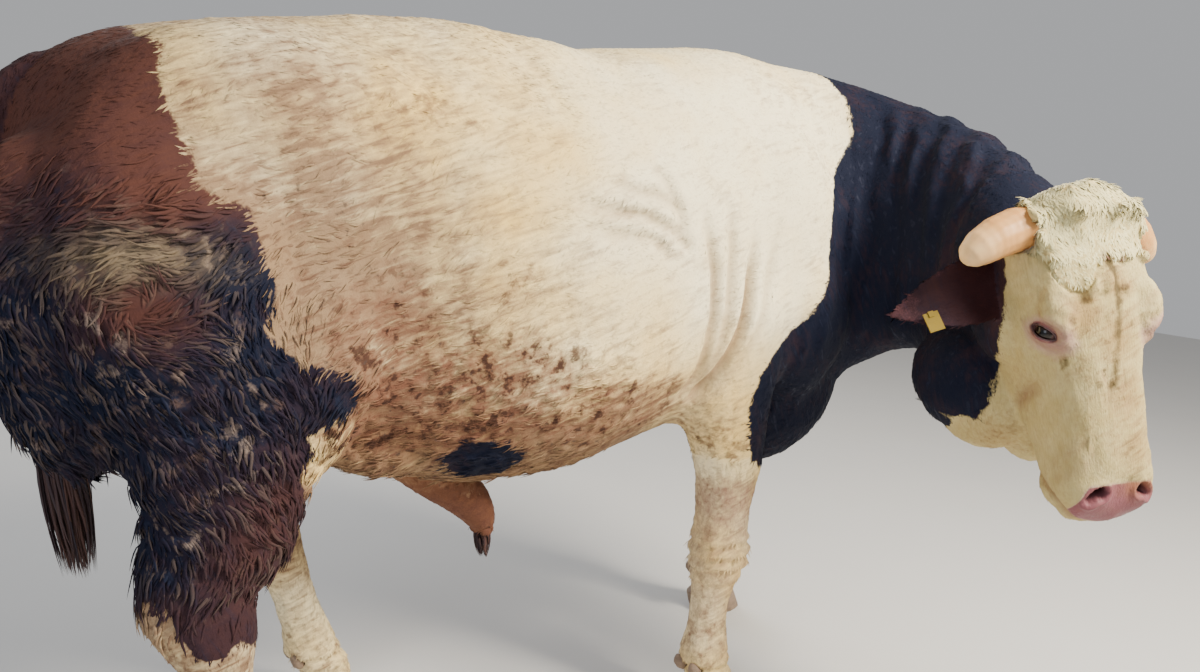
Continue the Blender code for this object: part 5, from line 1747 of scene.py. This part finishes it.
class BULL_OT_matted_coat(Operator):
    """Lay long wavy locks over the thigh, rump and flank where the hair is matted"""

    bl_idname = "bull.matted_coat"
    bl_label = "Matted coat"

    def execute(self, context):
        sizes = context.scene.bull_coat
        body = Bull.body
        zone = thigh_zone(body)
        flank = ease(border_side(body.side, RUMP_BORDER), -0.30, 0.0) * body.on("torso")
        flank = flank * ease(body.side[:, 1], 0.66, 0.76) * ease(1.30 - body.side[:, 1], 0.0, 0.2)
        belly = ease(0.95 - body.side[:, 1], 0.0, 0.1) * body.on("torso")
        belly = belly * ease(0.10 - body.side[:, 0], 0.0, 0.3)
        right = body.mirror < 0
        loose = np.clip(flank * 0.8 + belly * 0.5, 0, 1) * (1 - zone)
        for name, weights, count, reach_out, wide in (
            ("matted_thigh_right", zone * right, 5000, 0.044, 0.0024),
            ("matted_thigh_left", zone * ~right, 4000, 0.044, 0.0026),
            ("matted_flank", loose, 4400, 0.032, 0.0016),
        ):
            count = int(count * HAIR_SHARE)
            self.locks(name, weights, count, reach_out, wide, sizes.seed + len(name))
        return {"FINISHED"}

    def locks(self, name, weights, count, length, wide, seed):
        body = Bull.body
        picked, shares, draw = sampled(weights, count, seed)
        root = carried(body.points, picked, shares)
        normal = unit(carried(body.normals, picked, shares))
        lie = unit(carried(lie_of_coat(body), picked, shares))
        side = np.cross(normal, lie)
        steps = 6
        t = np.linspace(0, 1, steps)[None, :, None]
        long = (length * (0.6 + 0.8 * draw.random(count)))[:, None, None]
        wave = (draw.random(count) * math.tau)[:, None, None]
        wave = np.sin(t * 4.2 + wave) * long * 0.075
        lift = (0.0015 + 0.0045 * draw.random(count))[:, None, None] * np.sin(np.sqrt(t) * math.pi * 0.8)
        spines = root[:, None] + lie[:, None] * long * t + side[:, None] * wave
        spines = spines + normal[:, None] * (lift - 0.002 - 0.0009 * t)
        share = np.array((0.7, 1.0, 1.0, 0.85, 0.5, 0.0))[None]
        widths = wide * share * (0.6 + 0.8 * draw.random(count))[:, None]
        mesh = lock_mesh(name, spines, side, widths, widths * 0.42, draw.random(count),
                         root_values(picked, shares), normal)
        new_piece(name, mesh, Bull.looks["coat"])


class BULL_OT_hanging_hair(Operator):
    """Hang the locks of the tail switch and of the sheath's tuft"""

    bl_idname = "bull.hanging_hair"
    bl_label = "Switch and sheath tuft"

    def execute(self, context):
        sizes = context.scene.bull_coat
        look = dark_lock_look(context.scene.bull_colours)
        low, high = (np.array(corner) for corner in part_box("tail_switch"))
        top = np.array(((low[0] + high[0]) / 2 - 0.030, (low[1] + high[1]) / 2, high[2] + 0.06))
        end = np.array(((low[0] + high[0]) / 2 + 0.012, (low[1] + high[1]) / 2, low[2] + 0.004))
        self.hang("tail_switch_locks", top, end, 0.020, 0.028, 260, 0.0036, look,
                  "tail_switch", "coat_brown", sizes.seed + 60)
        sheath = mesh_arrays(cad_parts["sheath"].data)[0]
        low = sheath[:, 2].min()
        centre = sheath[sheath[:, 2] < low + 0.09].mean(axis=0)
        top = np.array((centre[0] - 0.004, centre[1], 0.480))
        end = np.array((centre[0] + 0.004, centre[1], low + 0.003))
        self.hang("sheath_tuft", top, end, 0.018, 0.010, 70, 0.0030, look, None, "coat_brown",
                  sizes.seed + 61)
        return {"FINISHED"}

    def hang(self, name, top, end, spread_top, spread_end, count, wide, look, node, slot, seed):
        draw = np.random.default_rng(seed)
        angle = draw.random(count) * math.tau
        reach_out = np.sqrt(draw.random(count))
        ring = np.stack([np.cos(angle), np.sin(angle), np.zeros(count)], axis=1) * reach_out[:, None]
        steps = 9
        t = np.linspace(0, 1, steps)[None, :, None]
        drop = abs(top[2] - end[2])
        start = top + ring * spread_top
        start[:, 2] -= draw.random(count) * drop * 0.35
        finish = end + ring * spread_end
        finish[:, 2] = end[2] + np.square(draw.random(count)) * drop * 0.35
        swell = np.sin(t * math.pi) * ring[:, None] * (0.5 * spread_end)
        phase = (draw.random(count) * math.tau)[:, None, None]
        side = np.stack([-ring[:, 1], ring[:, 0], ring[:, 2]], axis=1)
        side = unit(side + 1e-6)
        wave = np.sin(t * 9.0 + phase) * 0.0035 * t
        spines = start[:, None] * (1 - t) + finish[:, None] * t + swell + side[:, None] * wave
        share = np.array((0.6, 0.9, 1.0, 1.0, 0.95, 0.85, 0.65, 0.4, 0.0))[None]
        widths = wide * share * (0.6 + 0.8 * draw.random(count))[:, None]
        mesh = lock_mesh(name, spines, side, widths, widths * 0.5, draw.random(count),
                         nearest_values(spines[:, 0]))
        new_piece(name, mesh, look, (node,) if node else ())


def nearest_values(points):
    """The skin's values at the triangles nearest to some points."""
    body = Bull.body
    tree = BVHTree.FromPolygons(list(map(tuple, body.points)), list(map(tuple, body.corners)))
    picked = np.array([tree.find_nearest(Vector(point))[2] for point in points])
    shares = np.full((len(points), 3), 1 / 3)
    return root_values(picked, shares)


class BULL_OT_eyes(Operator):
    """Make both eyeballs with their iris, long pupil and the wet rims of the lids"""

    bl_idname = "bull.eyes"
    bl_label = "Eyes"

    def execute(self, context):
        look = eye_look()
        rim = lid_look()
        for name, centre, axes in eye_places():
            self.ball("eyeball_" + name, centre, axes, look, "eye_" + name)
            self.rims("lids_" + name, centre, axes, rim)
        return {"FINISHED"}

    def ball(self, name, centre, axes, look, node):
        normal, slit, across = axes
        rings, around = 28, 40
        points = []
        flat = []
        for i in range(1, rings):
            polar = math.pi * (i / rings) ** 1.25
            bulge = 1 + 0.045 * math.exp(-(polar / 0.45) ** 4)
            for j in range(around):
                turn = math.tau * j / around
                radius = EYEBALL * bulge
                a = math.sin(polar) * math.cos(turn)
                b = math.sin(polar) * math.sin(turn)
                points.append(radius * (a * slit + b * across + math.cos(polar) * normal))
                flat.append((a, b, math.cos(polar)))
        front = len(points)
        points += [EYEBALL * 1.045 * normal, -EYEBALL * normal]
        flat += [(0, 0, 1), (0, 0, -1)]
        faces = []
        for i in range(rings - 2):
            for j in range(around):
                a = i * around + j
                b = i * around + (j + 1) % around
                faces.append((a, a + around, b + around))
                faces.append((a, b + around, b))
        last = (rings - 2) * around
        for j in range(around):
            faces.append((front, j, (j + 1) % around))
            faces.append((front + 1, last + (j + 1) % around, last + j))
        places = np.array(points) + centre
        faces = np.array(faces)
        if np.linalg.det(np.array((slit, across, normal))) < 0:
            faces = faces[:, ::-1]
        mesh = new_mesh(name, places, faces)
        flat = np.array(flat)
        around_axis = np.hypot(flat[:, 0], flat[:, 1])
        behind = np.where(flat[:, 2] > 0, 0, 3)
        put_values(mesh, "iris", around_axis / 0.80 + behind)
        pupil = np.hypot(flat[:, 0] / 0.42, flat[:, 1] / 0.22)
        put_values(mesh, "pupil", pupil + behind)
        new_piece(name, mesh, look, (node,))

    def rims(self, name, centre, axes, look):
        """Two soft bands that follow the opening, one above and one below."""
        normal, slit, across = axes
        made = []
        steps, sides = 27, 10
        for upper, tall in ((1, UPPER_LID), (-1, LOWER_LID)):
            centres = []
            for i in range(steps):
                t = -1 + 2 * i / (steps - 1)
                a = SLIT_HALF * 0.97 * t
                b = upper * tall * 0.98 * (1 - abs(t) ** 2.2) ** 0.8
                flat = min(math.hypot(a, b), EYEBALL * 0.94)
                c = math.sqrt((EYEBALL + 0.0012) ** 2 - flat * flat) + 0.0024
                centres.append(centre + a * slit + b * across + c * normal)
            made.append(tube_arrays(np.array(centres), 0.0021, sides, 0.0009))
        points = np.concatenate([made[0][0], made[1][0]])
        faces = np.concatenate([made[0][1], made[1][1] + len(made[0][0])])
        new_piece(name, new_mesh(name, points, faces), look, ())


def tube_arrays(centres, radius, sides, end_radius):
    """A closed round tube of triangles along a path, thinner at its two ends."""
    along = unit(np.gradient(centres, axis=0))
    first = unit(np.cross(along, np.array((0.3, 0.2, 0.93))))
    second = np.cross(along, first)
    count = len(centres)
    share = np.sin(np.linspace(0.0, math.pi, count)) ** 0.35
    radii = end_radius + (radius - end_radius) * share
    points = []
    for k in range(sides):
        angle = math.tau * k / sides
        ring = first * math.cos(angle) + second * math.sin(angle)
        points.append(centres + ring * radii[:, None])
    points = np.stack(points, axis=1).reshape(-1, 3)
    points = np.concatenate([points, centres[:1], centres[-1:]])
    faces = ring_faces(count, sides)
    for k in range(sides):
        faces.append((count * sides, (k + 1) % sides, k))
        last = (count - 1) * sides
        faces.append((count * sides + 1, last + k, last + (k + 1) % sides))
    return points, np.array(faces)


class BULL_OT_horns(Operator):
    """Refine the short blunt horns, with the rings and fibres of real horn"""

    bl_idname = "bull.horns"
    bl_label = "Horns"

    def execute(self, context):
        look = horn_look(context.scene.bull_colours)
        for name, side in SIDES.items():
            root = head_place(0.014, 0.095 * side, 0.004)
            refine_node("horn_" + name, "horn_cover_" + name, 0.0036, 10, look, root, 0.0003)
        return {"FINISHED"}


def refine_node(node, name, voxel, rounds, look, root, rings):
    """A smooth, denser copy of a CAD node, with shallow rings that count from a root."""
    mesh = remeshed((node,), voxel)
    points, corners = mesh_arrays(mesh)
    points = relax(points, mesh_edges(mesh), rounds, np.ones(len(points)))
    gap = distance(points, root)
    along = gap / gap.max()
    if rings:
        wave = np.sin(gap * 420 + 4 * ripple(points, (0.04, 0.04, 0.04), 1.0))
        normals = point_normals(points, corners)
        points = points + normals * (rings * wave * ease(1 - along, 0.1, 0.7))[:, None]
    points[:, 2] = np.maximum(points[:, 2], 0.0)
    move_points(mesh, points)
    put_values(mesh, "along", along)
    mesh.shade_smooth()
    return new_piece(name, mesh, look, (node,))


class BULL_OT_hooves(Operator):
    """Refine the claws and dewclaws, with the layers of claw horn"""

    bl_idname = "bull.hooves"
    bl_label = "Claws and dewclaws"

    def execute(self, context):
        look = hoof_look(context.scene.bull_colours)
        for node in sorted(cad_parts):
            if node.startswith(("claw_", "dewclaw_")):
                low, high = (np.array(corner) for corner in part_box(node))
                root = np.array(((low[0] + high[0]) / 2, (low[1] + high[1]) / 2, high[2]))
                voxel = 0.0036 if node.startswith("claw") else 0.0026
                refine_node(node, node + "_cover", voxel, 6, look, root, 0.0)
        return {"FINISHED"}


class BULL_OT_ear_tag(Operator):
    """Give the blank ear tag its soft plastic"""

    bl_idname = "bull.ear_tag"
    bl_label = "Ear tag"

    def execute(self, context):
        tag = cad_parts["ear_tag"]
        look = tag_look(context.scene.bull_colours)
        for slot in tag.material_slots:
            slot.material = look
        return {"FINISHED"}


class BULL_OT_stage(Operator):
    """Set the floor, the soft studio lights and the camera"""

    bl_idname = "bull.stage"
    bl_label = "Stage"

    def execute(self, context):
        settings = context.scene.bull_stage
        half = 9.0
        corners = ((-half, -half, 0), (half, -half, 0), (half, half, 0), (-half, half, 0))
        floor = bpy.data.objects.new("floor", new_mesh("floor", np.array(corners), ((0, 1, 2, 3),)))
        context.scene.collection.objects.link(floor)
        look = Look("floor", Roughness=0.9)
        soft = look.noise(3.0, 2.0)
        colour = look.mix(soft * 0.2, settings.floor, (0.50, 0.48, 0.46))
        floor.data.materials.append(look.drive(Base_Color=colour))
        floor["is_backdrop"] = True
        world = bpy.data.worlds.new("soft_room")
        context.scene.world = world
        world.use_nodes = True
        background = world.node_tree.nodes["Background"]
        background.inputs["Color"].default_value = (0.66, 0.67, 0.69, 1.0)
        background.inputs["Strength"].default_value = 0.66
        key, fill = settings.key_power, settings.fill_power
        self.light("key", (1.7, -2.4, 3.1), (0.35, 0.0, 1.0), key, 1.3, (1.0, 0.93, 0.80))
        self.light("fill", (-3.6, -2.6, 2.2), (-0.4, 0.2, 0.9), fill, 2.6, (0.80, 0.88, 1.0))
        self.light("back", (0.4, 3.8, 3.2), (0.0, 0.3, 1.1), fill * 1.3, 2.4, (0.88, 0.93, 1.0))
        self.camera(context, settings)
        return {"FINISHED"}

    def light(self, name, place, target, power, size, colour):
        data = bpy.data.lights.new(name, "AREA")
        data.energy = power
        data.size = size
        data.color = colour
        lamp = bpy.data.objects.new(name, data)
        lamp.location = place
        back = Vector(place) - Vector(target)
        lamp.rotation_euler = back.to_track_quat("Z", "Y").to_euler()
        bpy.context.scene.collection.objects.link(lamp)

    def camera(self, context, settings):
        """The photograph's viewpoint: beside the hind quarters, looking along the body."""
        yaw, pitch, roll = (math.radians(angle) for angle in CAMERA_ANGLES)
        ahead = Vector((math.sin(yaw) * math.cos(pitch), math.cos(yaw) * math.cos(pitch), -math.sin(pitch)))
        right = Vector((math.cos(yaw), -math.sin(yaw), 0))
        up = right.cross(ahead)
        turned_right = right * math.cos(roll) + up * math.sin(roll)
        turned_up = up * math.cos(roll) - right * math.sin(roll)
        data = bpy.data.cameras.new("camera")
        data.lens = settings.lens
        data.sensor_width = 36.0
        camera = bpy.data.objects.new("camera", data)
        turn = Matrix((turned_right, turned_up, -ahead)).transposed()
        place = Matrix.Translation((*CAMERA_PLACE, settings.eye_height))
        camera.matrix_world = place @ turn.to_4x4()
        context.scene.collection.objects.link(camera)
        context.scene.camera = camera


class BULL_PT_panel(Panel):
    """The pieces of the bull"""

    bl_label = "Bull"
    bl_idname = "BULL_PT_panel"
    bl_space_type = "VIEW_3D"
    bl_region_type = "UI"
    bl_category = "Bull"

    def draw(self, context):
        layout = self.layout
        scene = context.scene
        for group in (scene.bull_skin, scene.bull_coat, scene.bull_colours, scene.bull_stage):
            box = layout.box()
            for name in group.__annotations__:
                box.prop(group, name)
        for operator in OPERATORS:
            layout.operator(operator.bl_idname)


GROUPS = {
    "bull_skin": BullSkin,
    "bull_coat": BullCoat,
    "bull_colours": BullColours,
    "bull_stage": BullStage,
}
OPERATORS = (
    BULL_OT_stage, BULL_OT_skin, BULL_OT_short_coat, BULL_OT_poll_curls, BULL_OT_matted_coat,
    BULL_OT_hanging_hair, BULL_OT_eyes, BULL_OT_horns, BULL_OT_hooves, BULL_OT_ear_tag,
)


def register():
    for kind in (*GROUPS.values(), *OPERATORS, BULL_PT_panel):
        bpy.utils.register_class(kind)
    for name, group in GROUPS.items():
        setattr(bpy.types.Scene, name, PointerProperty(type=group))


def unregister():
    for name in GROUPS:
        delattr(bpy.types.Scene, name)
    for kind in reversed((*GROUPS.values(), *OPERATORS, BULL_PT_panel)):
        bpy.utils.unregister_class(kind)


def main():
    register()
    bpy.ops.bull.stage()
    bpy.ops.bull.skin()
    bpy.ops.bull.short_coat()
    bpy.ops.bull.poll_curls()
    bpy.ops.bull.matted_coat()
    bpy.ops.bull.hanging_hair()
    bpy.ops.bull.eyes()
    bpy.ops.bull.horns()
    bpy.ops.bull.hooves()
    bpy.ops.bull.ear_tag()
    boxes = {"cad": CAD_BOX, "visual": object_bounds()}
    {name: [list(corner) for corner in box] for name, box in boxes.items()}


if __name__ == "__main__":
    main()
